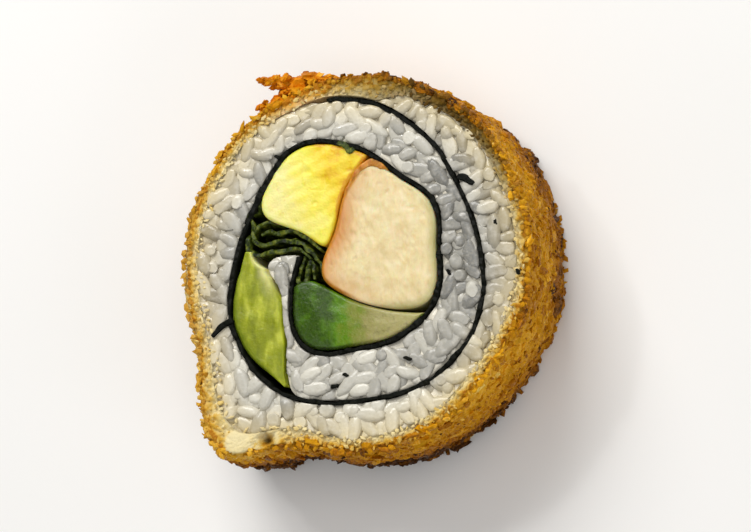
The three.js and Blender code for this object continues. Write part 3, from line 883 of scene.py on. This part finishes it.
def body_marks(angle, base, relief, crumb, smooth, pit):
    """The side is toasted by its browning, painted shade included. Over both cuts the depth grows
    outwards by crumbly steps, and the toast by the angle; both are low where the batter is smooth,
    and the hole is painted darker as painted shade. The floury tan of the left is a share of the
    cut's colour on the side."""
    bottom, side, top, _ = SECTION
    on_cut = np.isin(ZONE, (BOTTOM, TOP))
    # painted shade: the hole in the corner is painted darker by its bell
    cut_toast = np.clip(cut_browning(angle) * (1 - smooth) + 1.2 * pit**2.5, 0, 1)
    tan = (ZONE == SIDE) * floury(base)
    depth = by_zone(bottom, 1, top, 0)
    depth = np.where(on_cut, np.clip(depth + 0.5 * crumb, 0, 1) * (1 - 0.9 * smooth), depth)
    at_edges = 0.5 * soft_step(side, 0.985, 1.0) + 0.5 * (1 - soft_step(side, 0.0, 0.012))
    return {"toast": np.where(on_cut, cut_toast, browning_and_shade(base, relief)),
            "depth": np.where(ZONE == SIDE, 1 - FLOURY_DEPTH * tan, depth),
            "cut": np.maximum(by_zone(1, at_edges, 1, 1), tan),
            "amber": orange_tint(angle, base[..., 2])}


def coat_body():
    """The rings moved by relief. That of the side pushes outwards, and fades over the cuts.
    That of the cuts pushes up, or on the bottom only in, and is less on smooth batter."""
    bottom, side, top, _ = SECTION
    angle = np.arange(0, 360, 0.5)[:, None]
    base, inner = coat_section(angle), coat_inner(angle)
    angle = np.broadcast_to(angle, base.shape[:2])
    relief = coat_relief(base) * calm(angle, base[..., 2])
    radius = distance_of(base) + by_zone(0.6 * bottom, 1, 0.8 * top**6, 0) * relief
    crumb, inside = plates(base, 0.85, 51)
    pits = 0.5 * crumb - 0.3 * np.exp(-((inside / 0.15) ** 2)) + 0.2 * soft_noise(base, 2.0, 52) - 0.1
    lump, pit, pit_rim = corner_marks(base)
    smooth = np.maximum(soft_step(lump, 0.0, 0.5), 0.7 * pit_rim)
    lift = by_zone(0, soft_step(side, 0.94, 1.0), 1, 0) * pits * (1 - 0.75 * smooth)
    z = base[..., 2] + lift - 1.8 * pit + 0.3 * pit_rim + 0.5 * lump
    z = np.maximum(z + (ZONE == BOTTOM) * np.clip(0.12 - pits, 0, 0.6), 0.0)
    points = around(angle, np.maximum(radius, inner + 0.02 * (ZONE == TOP)), z)
    return points, body_marks(angle, base, relief, crumb, smooth, pit)


coat_points, coat_marks = coat_body()
add_piece("coat_body", *skin(coat_points, True), CRUST_PAINT, "crumb_coat", "fried_crumb",
          with_ends(coat_marks, True))

# %% [markdown]
# ## Breadcrumbs
# Single crumbs stand out of the coat: coarse, dry splinters from 1 to 3 mm, half sunk, lying
# every way. Each is the small ball again with its points shaken, flattened and turned to lie
# roughly along the side. A few dozen faces are enough, and flat shading keeps them sharp.
# Finer ones fill the spaces and lie on the band of both cuts; on the left a few are strewn
# over the rice. By the seam sits an orange clump, with two ragged tips at its left end.

# %% Shape of a crumb
def frames(angle, lying=False):
    """For each angle, the three directions of the side: along it, up, and straight out. For
    crumbs lying on a cut face, out and up change places."""
    a = np.radians(angle)
    zero, one = np.zeros_like(a), np.ones_like(a)
    along = np.stack([-np.sin(a), np.cos(a), zero], -1)
    out = np.stack([np.cos(a), np.sin(a), zero], -1)
    up = np.stack([zero, zero, one], -1)
    return np.stack([along, out, up] if lying else [along, up, out], -1)


def crumbs(random, places, directions, size, detail, tilt, **marks):
    """Shaken balls: each point's distance is a random share, and each crumb is squashed to its
    own length, width and thickness, tilted off the surface and spun round the outward way.
    Marks come as one value for each crumb; parts that stand proud are browner."""
    shape, faces = ball(*detail)
    count = len(places)
    shaken = shape[None] * random.uniform(0.62, 1.25, (count, len(shape), 1))
    pull = np.stack([random.uniform(0.75, 1.25, count), random.uniform(0.45, 0.8, count),
                     random.uniform(0.28, 0.5, count)], -1)
    shaken = shaken * (pull * size[:, None] / 2)[:, None, :]
    spin, nod = random.uniform(0, 2 * np.pi, count), random.normal(0, tilt, count)
    points, faces = copies(shaken, faces, directions @ turned(spin, nod), places)
    proud = np.einsum("nmi,ni->nm", points - places[:, None], directions[..., 2])
    points[..., 2] = np.clip(points[..., 2], 0.0, SLICE_HEIGHT + 0.4)
    spread = {name: np.repeat(np.broadcast_to(marks.get(name, 0.0), count), len(shape))
              for name in ("toast", "depth", "cut", "amber")}
    spread["toast"] = np.clip(spread["toast"] + 0.16 * proud.ravel(), 0, 1)
    return points.reshape(-1, 3), faces, spread


# %% Crumbs of the side and the cuts
def side_crumbs(random, tries, spacing, sizes, detail, tilt, sink):
    """Crumbs thrown over the whole side, each sunk into the relief under it."""
    angle = random.uniform(0, 360, tries)
    share = random.uniform(0.015, 0.99, tries)
    chosen = thrown(coat_side(angle, share), spacing)
    angle, share = angle[chosen], share[chosen]
    base = coat_side(angle, share)
    relief = coat_relief(base) * calm(angle, base[:, 2])
    size = sizes[0] + (sizes[1] - sizes[0]) * random.uniform(0, 1, len(angle)) ** 1.8
    size = size * calm(angle, base[:, 2]) ** 0.7
    directions = frames(angle)
    places = base + directions[..., 2] * (relief - sink * size)[:, None]
    # the crumbs take the side's colour, its painted shade included
    toast = browning_and_shade(base, relief) + random.normal(0, 0.14, len(angle))
    tan = floury(base)
    return crumbs(random, places, directions, size, detail, tilt, toast=toast, cut=tan,
                  depth=1 - FLOURY_DEPTH * tan, amber=orange_tint(angle, base[:, 2]))


def cut_crumbs(random, tries, z):
    """Fine crumbs over the coat's cut band, where the knife has broken it. On the left they
    spread inwards over the rice. The outermost are coloured as the side beside them, its painted
    shade included, but less on the left and at the upper right."""
    angle, share = random.uniform(0, 360, tries), random.uniform(0, 1, tries)
    left = hill(angle, 193, 42)
    share = share * (1.15 + 0.5 * left) - 0.08 - 0.5 * left
    inner, outer = coat_inner(angle), coat_outer(angle)
    places = around(angle, inner + share * (outer - inner), z)
    bare = (distance_of(places, LUMP_AT) < LUMP_WIDE) | (distance_of(places, PIT_AT) < 1.6)
    on_sheet = (share < 0.1) & (np.abs(angle - 95) < 16)  # there the seaweed's end lies on the coat
    keep = ~(bare | on_sheet)
    angle, share, places = angle[keep], share[keep], places[keep]
    chosen = thrown(places, 0.62)
    angle, share, places = angle[chosen], share[chosen], places[chosen]
    size = random.uniform(0.5, 1.1, len(angle)) + 0.6 * soft_step(share, 0.8, 1.0)
    fried = soft_step(share, 0.75, 1.0) * (1 - 0.75 * hill(angle, 190, 48) - 0.8 * hill(angle, 60, 42))
    toast = cut_browning(angle) * (1 - fried) + browning_and_shade(places, 0.0) * fried
    toast = toast + random.normal(0, 0.1, len(angle))
    depth = np.clip(share + 0.3 * hill(angle, 193, 42) + random.normal(0, 0.2, len(angle)), 0, 1)
    return crumbs(random, places, frames(angle, True), size, (5, 3), 0.5, toast=toast, depth=depth,
                  cut=0.85 * (1 - fried))


# %% Clump by the seam
CLUMP_TIPS = (((-11.6, 25.3), (-15.3, 25.9)), ((-13.2, 21.6), (-15.2, 21.9)))


def amber_clump(random, count, tip_count):
    """A clump of coarse orange crumbs stuck to the upper edge by the seam. From its left end
    two ragged tips point away, each a row of crumbs that grow smaller and browner."""
    angle = random.uniform(CLUMP_AT - 13, CLUMP_AT + 7, count)
    lift = 3.6 * random.uniform(0, 1, count) ** 0.8 * hill(angle, CLUMP_AT, 12, 7)
    height = random.uniform(15.6, 21.6, count) - 0.3 * lift
    places = around(angle, coat_outer(angle) - 0.5 + lift, height)
    size = random.uniform(1.3, 2.8, count)
    toast = random.uniform(0.2, 0.85, count)
    for start, end in np.array(CLUMP_TIPS):
        share = random.uniform(0, 1, tip_count)
        spread = random.normal(0, 0.42, (tip_count, 2)) * (1 - 0.85 * share[:, None])
        flat = start + (end - start) * share[:, None] + spread
        height = 19.4 + random.uniform(-2.2, 1.8, tip_count) * (1 - 0.6 * share)
        row = np.column_stack([flat, height])
        places = np.vstack([places, row])
        angle = np.append(angle, angle_of(row))
        size = np.append(size, random.uniform(1.2, 2.2, tip_count) * (1 - 0.35 * share))
        toast = np.append(toast, 0.4 + 0.4 * share)
    amber = random.uniform(0.2, 0.75, len(angle))
    return crumbs(random, places, frames(angle), size, (8, 5), 0.9, toast=toast, amber=amber)


# %% Throw the crumbs
def crumb_piece(name, batches):
    """One flat-shaded piece from several batches of crumbs."""
    points, faces = joined([batch[:2] for batch in batches])
    marks = {key: np.concatenate([batch[2][key] for batch in batches]) for key in batches[0][2]}
    add_piece(name, points, faces, CRUST_PAINT, "crumb_coat", "fried_crumb", marks, smooth=False)


random = np.random.default_rng(5)
coarse = side_crumbs(random, 9000, 1.35, (1.2, 3.4), (8, 5), 0.5, 0.08)
crumb_piece("crumbs_coarse", [coarse, amber_clump(random, 260, 60)])
fine = side_crumbs(random, 16000, 0.72, (0.6, 1.3), (5, 3), 0.7, 0.02)
crumb_piece("crumbs_fine", [fine, cut_crumbs(random, 3000, 21.9), cut_crumbs(random, 2000, 0.15)])

# %% [markdown]
# ## Fillings
# Each filling is a bar that runs straight through, so its form is an outline carried from
# cut to cut. A smooth closed curve runs through the outline's chosen points. Points that would
# cross the seaweed are drawn in to it, as the roll presses the bar. Over each cut the outline
# shrinks ring by ring to the bar's middle, round at the edge and with a low dome, because soft
# food bulges when its skin of rice lets go. Small relief on the cut differs for each food.

# %% Bars with two cut faces
def closed_curve(outline, samples):
    """The smooth closed curve through the outline's points, at equal steps of its knots."""
    place = np.arange(samples) * len(outline) / samples
    return through_knots(np.array(outline, float), place, closed=True)


def tucked(points):
    """Draws points in until they are inside the seaweed's inner turn."""
    turn = NORI_START + (angle_of(points) - NORI_START) % 360
    most = nori_radius(turn) - NORI_HALF
    return points * np.minimum(1, most / distance_of(points))[..., None]


def rounded(values):
    """The running mean over nine points round a closed line."""
    return np.mean([np.roll(values, k, axis=0) for k in range(-4, 5)], axis=0)


def pressed(name, samples):
    """The outline of one filling, grown until it meets the others: every point moves away from
    the centre by half its distance to the nearest neighbour's outline, at most 0.9 mm. The
    growth is rounded by a running mean, and so are the corners."""
    edges = {key: closed_curve(shape, samples) for key, shape in OUTLINES.items()}
    others = np.vstack([edge for key, edge in edges.items() if key != name])
    edge, centre = edges[name], np.array(CENTRES[name], float)
    free = np.min(np.linalg.norm(edge[:, None] - others[None], axis=-1), axis=1)
    grown = np.clip((free - 0.12) / 2, 0.1, 0.9)
    away = edge - centre
    edge = centre + away * (1 + rounded(grown) / np.linalg.norm(away, axis=1))[:, None]
    return rounded(tucked(edge)), centre


def from_edge(flat, edge):
    """Shortest distance from each point to the closed line through the edge's points: the foot
    on each of its segments is a share along it, kept between 0 and 1."""
    step = np.roll(edge, -1, axis=0) - edge
    away = flat[..., None, :] - edge
    share = np.clip(np.sum(away * step, -1) / np.sum(step * step, -1), 0, 1)
    return np.min(np.linalg.norm(away - share[..., None] * step, axis=-1), axis=-1)


EDGE_DROP, EDGE_ROUND, DOME_REACH = 0.45, 0.55, 4.5  # mm down, and mm in from the edge


def bar(name, height, dome, relief, samples=180, rings=40):
    """Rings from the lower cut to the upper one. A cut ring is the outline shrunk by a share
    towards the centre. By its distance in from the edge a point falls on a quarter circle and
    rises to a low dome. Also gives that distance in mm, which the paint uses."""
    edge, centre = pressed(name, samples)
    share = np.sin(np.linspace(0.03, 1, rings) * np.pi / 2)[:, None]
    levels = np.linspace(0, 1, 12)[1:-1, None]

    def cut_face(top):
        """One cut's rings, and how far each point is from the edge."""
        reach = share[::-1] if top else share
        flat = centre + (edge - centre) * reach[..., None]
        base = np.concatenate([flat, np.full(flat.shape[:2] + (1,), height if top else 0.0)], -1)
        inset, bumps = from_edge(flat, edge), relief(base)
        fall = EDGE_DROP * (1 - np.sqrt(1 - (1 - np.clip(inset / EDGE_ROUND, 0, 1)) ** 2))
        rise = dome * soft_step(inset, 0, DOME_REACH) + bumps * soft_step(inset, 0, 0.6)
        base[..., 2] = height + rise - fall if top else np.maximum(0.03, 0.12 + fall - 0.4 * bumps)
        return base, inset

    (lower, low_inset), (upper, high_inset) = cut_face(False), cut_face(True)
    side = lower[-1:] + (upper[:1] - lower[-1:]) * levels[..., None]
    inset = np.concatenate([low_inset, np.zeros(side.shape[:2]), high_inset])
    return np.concatenate([lower, side, upper]), inset


OUTLINES = {
    "crab_stick": ((1.9, 11.5), (-1.4, 8.1), (-2.4, 3.2), (-4.1, -1.3), (-3.5, -4.6), (1.6, -7.3),
                   (7.6, -8.1), (11.4, -5.3), (11.9, 1.3), (10.8, 7.1), (6.4, 9.9)),
    "omelette": ((-10.3, 14.1), (-7.0, 16.1), (-3.3, 15.9), (0.9, 14.1), (-0.4, 11.6), (-2.3, 8.7),
                 (-3.3, 4.7), (-4.7, 1.6), (-8.0, 4.0), (-12.9, 5.9), (-12.9, 9.9)),
    "cucumber": ((-8.9, -5.6), (-9.4, -9.3), (-7.9, -13.5), (-4.6, -14.7), (1.6, -13.5), (8.4, -11.6),
                 (9.9, -9.5), (4.8, -8.7), (0.0, -7.5), (-3.9, -5.5), (-6.4, -4.6)),
}
CENTRES = {"crab_stick": (4.2, 0.7), "omelette": (-6.8, 9.1), "cucumber": (-0.8, -10.4)}
print("filling outlines:", {name: len(points) for name, points in OUTLINES.items()}, "chosen points")


# %% [markdown]
# ### Crab stick
# Surimi is fish paste rolled into a stick: cream inside, in thin layers that the knife leaves
# as faint curved lines, with an orange skin that shows here along the left and lower left and
# blushes inwards. The edge at the right and below is greenish. At the top the skin has come
# loose as a lip that curls under the seaweed.

# %% Crab stick
def crab_paint():
    """Cream clouds and paler fibres, tinted by the marks `green`, `blush` and `skin`."""
    material, tree, shader = start_paint("crab_stick", 0.38, 0.35, 1.2)
    fibre = speckle(tree, 0.5, 4, 0.6, (1.0, 0.35, 1.0))
    cloud = speckle(tree, 1.6, 4, 0.6)
    flesh = ramp(tree, cloud, (0.35, rgb(226, 207, 156)), (0.55, rgb(235, 219, 173)),
                 (0.75, rgb(242, 229, 190)))
    flesh = mix(tree, remap(tree, fibre, 0.5, 0.75, 0, 0.25), flesh, rgb(248, 238, 206))
    flesh = mix(tree, mark(tree, "green"), flesh, rgb(158, 158, 92))
    blush = mix(tree, mark(tree, "blush"), flesh, rgb(212, 150, 82))
    skin_colour = mix(tree, remap(tree, fibre, 0.3, 0.7), rgb(208, 144, 44), rgb(172, 108, 26))
    colour = mix(tree, mark(tree, "skin"), blush, skin_colour)
    finish_paint(tree, shader, colour, remap(tree, fibre, 0.3, 0.7, 0.3, 0.46), bump(tree, fibre, 0.1))
    return material


def crab_relief(p):
    """Faint ridges of the rolled layers, bent by noise, with a few small tears."""
    angle = np.radians(24)
    layer = p[..., 0] * np.cos(angle) + p[..., 1] * np.sin(angle) + 2.2 * soft_noise(p, 4.0, 81, 2)
    tears = np.clip(soft_noise(p, 1.2, 83, 2) - 0.4, 0, 1)
    fine = 0.12 * soft_noise(p, 3.0, 82) + 0.07 * soft_noise(p, 0.9, 84, 2)
    return 0.03 * np.sin(layer * 2 * np.pi / 1.15) + fine - 0.6 * tears


CRAB_PAINT = crab_paint()
rings, inset = bar("crab_stick", 22.1, 0.3, crab_relief)
side_angle = angle_of(rings[..., :2] - CENTRES["crab_stick"])
left, right = hill(side_angle, 160, 52, 76), hill(side_angle, 5, 50) + hill(side_angle, 290, 25)
crab_marks = {"skin": (1 - soft_step(inset, 0.3, 0.75)) * soft_step(left, 0.2, 0.5),
              "blush": (1 - soft_step(inset, 0.2, 4.5)) * left,
              "green": 0.7 * (1 - soft_step(inset, 0.1, 1.6)) * right}
add_piece("crab_stick_bar", *skin(rings), CRAB_PAINT, "crab_stick", "crab_stick_flesh",
          with_ends(crab_marks))

LIP = ((-1.9, 6.2), (-1.0, 8.9), (0.5, 11.3), (2.2, 12.9), (3.6, 12.3), (4.6, 11.3))
lip = ribbon(LIP, 0.5, 131, high=21.9)
lip_marks = {name: np.full(lip.shape[:2], value)
             for name, value in (("skin", 1.0), ("blush", 0.0), ("green", 0.0))}
add_piece("crab_stick_lip", *skin(lip), CRAB_PAINT, "crab_stick", "crab_stick_flesh",
          with_ends(lip_marks))

# %% [markdown]
# ### Omelette
# Sweet omelette is cooked in thin folded sheets: pale yellow, brighter towards the crab stick
# and round its edge, smooth and a little wet, with tiny holes and faint layers.

# %% Omelette
def omelette_paint():
    """Pale to deep yellow by the mark `bright`, with darker holes."""
    material, tree, shader = start_paint("omelette", 0.36, 0.35, 1.2, (1.0, 0.75, 0.25))
    cloud = speckle(tree, 3.2, 3)
    value = math_node(tree, "ADD", mark(tree, "bright"), remap(tree, cloud, 0.3, 0.7, -0.2, 0.2))
    colour = ramp(tree, value, (0.0, rgb(246, 236, 160)), (0.5, rgb(248, 232, 92)),
                  (0.85, rgb(244, 214, 44)), (1.0, rgb(226, 170, 36)))
    holes = speckle(tree, 0.7, 4)
    colour = mix(tree, remap(tree, holes, 0.62, 0.75, 0, 0.3), colour, rgb(214, 180, 60))
    finish_paint(tree, shader, colour, remap(tree, holes, 0.3, 0.7, 0.28, 0.46), bump(tree, holes, 0.14))
    return material


def omelette_relief(p):
    """Layers as soft ridges across the bar, and small holes where bubbles were."""
    layer = 0.5 * p[..., 0] - 0.87 * p[..., 1] + 0.8 * soft_noise(p, 4.0, 91)
    holes = np.clip(soft_noise(p, 0.9, 93) - 0.55, 0, 1)
    return 0.045 * np.sin(layer * 2 * np.pi / 1.9) + 0.1 * soft_noise(p, 2.2, 92) - 0.6 * holes


rings, inset = bar("omelette", 21.9, 0.25, omelette_relief)
to_right = (rings[..., 0] + 0.35 * rings[..., 1] + 9.0) / 9.0
bright = np.clip(0.75 * to_right, 0, 0.85) + 0.3 * (1 - soft_step(inset, 0.0, 0.7))
add_piece("omelette_bar", *skin(rings), omelette_paint(), "omelette", "egg_omelette",
          with_ends({"bright": np.clip(bright, 0, 1)}))

# %% [markdown]
# ### Cucumber
# A wedge of cucumber, watery and glossy: bright green with darker skin at the left and below,
# fading to pale, almost cream flesh with soft seeds at the right.

# %% Cucumber
def cucumber_paint():
    """Green to cream by the mark `pale`, with seeds in the pale part, dark by `skin`."""
    material, tree, shader = start_paint("cucumber", 0.25, 0.3, 1.0, (0.7, 1.0, 0.35))
    cloud = speckle(tree, 1.8, 3)
    value = math_node(tree, "ADD", mark(tree, "pale"), remap(tree, cloud, 0.3, 0.7, -0.15, 0.15))
    colour = ramp(tree, value, (0.0, rgb(56, 86, 1)), (0.22, rgb(94, 138, 3)),
                  (0.45, rgb(130, 142, 40)), (0.7, rgb(158, 152, 88)), (1.0, rgb(178, 170, 114)))
    seeds = remap(tree, speckle(tree, 1.3, 4, 0.6), 0.56, 0.68, 0, 0.55)
    seeds = math_node(tree, "MULTIPLY", seeds, mark(tree, "pale"))
    colour = mix(tree, seeds, colour, rgb(116, 114, 62))
    colour = mix(tree, mark(tree, "skin"), colour, rgb(34, 52, 3))
    fine = speckle(tree, 0.5, 3)
    finish_paint(tree, shader, colour, remap(tree, fine, 0.3, 0.7, 0.16, 0.36), bump(tree, fine, 0.08))
    return material


def cucumber_relief(p):
    """Wet dips between the cells of the flesh."""
    return 0.14 * soft_noise(p, 2.4, 101, 2)


rings, inset = bar("cucumber", 21.8, 0.28, cucumber_relief)
pale = np.clip((rings[..., 0] + 4.5) / 9.5, 0, 1)
below = soft_step(-rings[..., 1] - 0.35 * rings[..., 0], 6.0, 10.0)
cucumber_marks = {"pale": pale, "skin": (1 - soft_step(inset, 0.25, 0.7)) * below * (1 - pale)}
add_piece("cucumber_bar", *skin(rings), cucumber_paint(), "cucumber", "cucumber_flesh",
          with_ends(cucumber_marks))

# %% [markdown]
# ### Avocado
# A soft slice of avocado fills the crescent between the rice's inner curl and the seaweed's
# outer turn. Its outline follows those two curves, so it is a strip carried round the roll.

# %% Avocado
def avocado_paint():
    """Green streaks, darker by the mark `skin` and cream by `cream`."""
    material, tree, shader = start_paint("avocado", 0.4, 0.3, 1.0, (0.8, 1.0, 0.3))
    streak = speckle(tree, 1.6, 3, 0.5, (1.0, 0.4, 1.0))
    colour = ramp(tree, streak, (0.3, rgb(122, 132, 8)), (0.5, rgb(152, 160, 18)),
                  (0.72, rgb(202, 206, 70)))
    colour = mix(tree, mark(tree, "skin"), colour, rgb(84, 108, 20))
    colour = mix(tree, mark(tree, "cream"), colour, rgb(222, 218, 150))
    fine = speckle(tree, 0.6, 3)
    finish_paint(tree, shader, colour, remap(tree, fine, 0.3, 0.7, 0.3, 0.5), bump(tree, fine, 0.1))
    return material


AVOCADO_FROM, AVOCADO_TO = 178.5, 241  # degrees
AVOCADO_INSIDE, AVOCADO_BLUNT = 13.0, 15.0  # mm: its least radius, and that at the blunt start


def avocado_strip():
    """Rings across the crescent: side times half the width about the middle radius. The width
    tapers at both ends by a power of a sine, and the cut dips and bulges a little."""
    angle = np.linspace(AVOCADO_FROM, AVOCADO_TO, 90)[:, None]
    share = (angle - AVOCADO_FROM) / (AVOCADO_TO - AVOCADO_FROM)
    outside = nori_radius(angle + 360) - NORI_HALF
    curl = np.where(angle < RICE_START, 0, rice_outer(np.maximum(angle, RICE_START)))
    inside = np.maximum(np.maximum(AVOCADO_INSIDE, curl), AVOCADO_BLUNT * hill(angle, 179, 26))
    side, z, height = strip_section(9, 0.1, 21.6, across=17)
    taper = np.sin(np.pi * (0.03 + 0.94 * share)) ** 0.4
    half = np.maximum(outside - inside, 0.8) / 2 * taper
    radius = (inside + outside) / 2 + side * half
    from_side = np.clip(1 - (1 - np.abs(side)) * 4, 0, 1)
    bulge = 0.35 * np.sqrt(1 - from_side**2) + 0.18 * soft_noise(around(angle, radius, z), 2.2, 111, 2)
    lift = np.where(height > 0.99, bulge - 0.15, np.where(height < 0.01, 0.0, -0.3 * (height > 0.9)))
    points = around(angle, radius, z + lift)
    return points, {"skin": 0.7 * soft_step(side, 0.6, 1.0) + 0 * share,
                    "cream": soft_step(-side, 0.2, 0.9) * hill(angle, 188, 14) + 0 * share}


strip, strip_marks = avocado_strip()
add_piece("avocado_strip", *skin(strip), avocado_paint(), "avocado", "avocado_flesh",
          with_ends(strip_marks))

# %% [markdown]
# ### Lettuce
# A dark leaf is crumpled between the omelette and the rice's inner end and stands on edge. It
# doubles back at the left and again beside the crab stick, so its folds are several ribbons
# that ripple up their height and have ragged cut edges. A scrap shows above the omelette.

# %% Lettuce
def leaf_paint():
    """Nearly black to light green by a fine pattern of veins."""
    material, tree, shader = start_paint("leaf", 0.36, 0.3)
    vein = speckle(tree, 0.8, 5, 0.65, (1.0, 1.0, 0.4))
    colour = ramp(tree, vein, (0.28, rgb(12, 17, 4)), (0.42, rgb(32, 44, 9)), (0.54, rgb(76, 90, 20)),
                  (0.7, rgb(136, 138, 50)))
    finish_paint(tree, shader, colour, remap(tree, vein, 0.3, 0.7, 0.26, 0.55), bump(tree, vein, 0.25))
    return material


LEAF_FOLDS = (
    ((-11.2, 4.1), (-13.6, 4.4), (-15.3, 3.4), (-15.4, 1.9), (-13.6, 1.3), (-11.3, 1.9),
     (-9.0, 2.0), (-7.0, 0.7), (-5.7, -1.2), (-5.1, -3.4)),
    ((-14.4, 2.9), (-13.0, 3.4), (-11.6, 2.8), (-9.9, 3.4), (-8.2, 2.9), (-6.7, 2.0), (-5.4, 0.4)),
    ((-14.4, 8.6), (-14.6, 6.6), (-16.0, 5.4), (-15.4, 4.2), (-16.2, 2.6), (-16.2, 0.6),
     (-14.6, 0.1), (-12.6, 0.5), (-10.4, 0.9), (-8.6, 0.7), (-6.9, -0.9)),
    ((-7.7, -0.4), (-8.2, -2.2), (-8.7, -4.0), (-7.6, -4.6), (-7.2, -3.0), (-7.0, -1.2),
     (-6.2, -1.8), (-6.2, -3.8)),
)
SCRAP_OF_LEAF = ((-2.6, 15.9), (-1.6, 15.3), (-0.8, 14.6), (-0.2, 15.0))
leaf = [skin(ribbon(fold, 0.3, 121 + 5 * k, 150, high=21.3, ripple=0.34, ragged=1.1))
        for k, fold in enumerate(LEAF_FOLDS)]
leaf.append(skin(ribbon(SCRAP_OF_LEAF, 0.4, 151, 20, 17.0, 22.1)))
add_piece("lettuce_leaf", *joined(leaf), leaf_paint(), "lettuce", "leaf")

# %% [markdown]
# ## Stage, light and camera
# A pale floor and soft light from large panels keep the food's own colours. The strongest
# panel stands beyond the slice as the camera sees it, so the near side of the coat is in
# shade. The camera looks down on the cut face, leaning a little to the right, through a long
# lens so that the ring stays round.

# %% Floor
def floor_paint():
    """Nearly white, with a broad faint pattern."""
    material, tree, shader = start_paint("pale_floor", 0.6)
    tone = speckle(tree, 120, 2)
    colour = ramp(tree, tone, (0.3, rgb(240, 239, 236)), (0.7, rgb(246, 245, 243)))
    finish_paint(tree, shader, colour)
    return material


FLOOR_REACH = 2.0  # metres each way
floor_mesh = bpy.data.meshes.new("floor")
corners = [(x * FLOOR_REACH, y * FLOOR_REACH, 0) for x, y in ((-1, -1), (1, -1), (1, 1), (-1, 1))]
floor_mesh.from_pydata(corners, [], [(0, 1, 2, 3)])
floor_mesh.materials.append(floor_paint())
floor = bpy.data.objects.new("floor", floor_mesh)
bpy.context.scene.collection.objects.link(floor)
print("floor:", 2 * FLOOR_REACH, "m across")


# %% Lights
def panel(name, place, size, power, colour=(1, 1, 1)):
    """A square soft light at a place in metres, facing the slice."""
    data = bpy.data.lights.new(name, "AREA")
    data.shape = "SQUARE"
    data.size = size
    data.energy = power
    data.color = colour
    light = bpy.data.objects.new(name, data)
    bpy.context.scene.collection.objects.link(light)
    place = Vector(place)
    light.matrix_world = Matrix.Translation(place) @ place.to_track_quat("Z", "Y").to_matrix().to_4x4()


panel("key_panel", (-0.15, 0.55, 0.55), 0.45, 4.5, (1.0, 0.99, 0.97))
panel("top_panel", (0.1, 0.0, 0.9), 0.6, 1.9)
panel("glint_panel", (-0.35, 0.35, 0.75), 0.07, 0.7)
panel("low_panel", (0.6, -0.45, 0.35), 0.5, 1.0)
world = bpy.data.worlds.new("studio")
world.use_nodes = True
world.node_tree.nodes["Background"].inputs["Color"].default_value = (1, 1, 1, 1)
world.node_tree.nodes["Background"].inputs["Strength"].default_value = 0.28
bpy.context.scene.world = world
bpy.context.scene.view_settings.view_transform = "Standard"
print("lights:", [light.name for light in bpy.data.lights])

# %% Camera
VIEW_BACK = Vector((0.271, -0.109, 0.956)).normalized()  # from the slice towards the camera
VIEW_UP = Vector((0, 1, 0))
VIEW_DISTANCE, VIEW_LENS = 0.62, 205  # metres, and mm
VIEW_TARGET = Vector((0.001, -0.0005, 0.015))
camera_data = bpy.data.cameras.new("camera")
camera_data.lens = VIEW_LENS
camera = bpy.data.objects.new("camera", camera_data)
bpy.context.scene.collection.objects.link(camera)
across = VIEW_UP.cross(VIEW_BACK).normalized()
upward = VIEW_BACK.cross(across)
turn_matrix = Matrix((across, upward, VIEW_BACK)).transposed().to_4x4()
camera.matrix_world = Matrix.Translation(VIEW_TARGET + VIEW_BACK * VIEW_DISTANCE) @ turn_matrix
bpy.context.scene.camera = camera
print("camera at", [round(v, 3) for v in camera.matrix_world.translation])
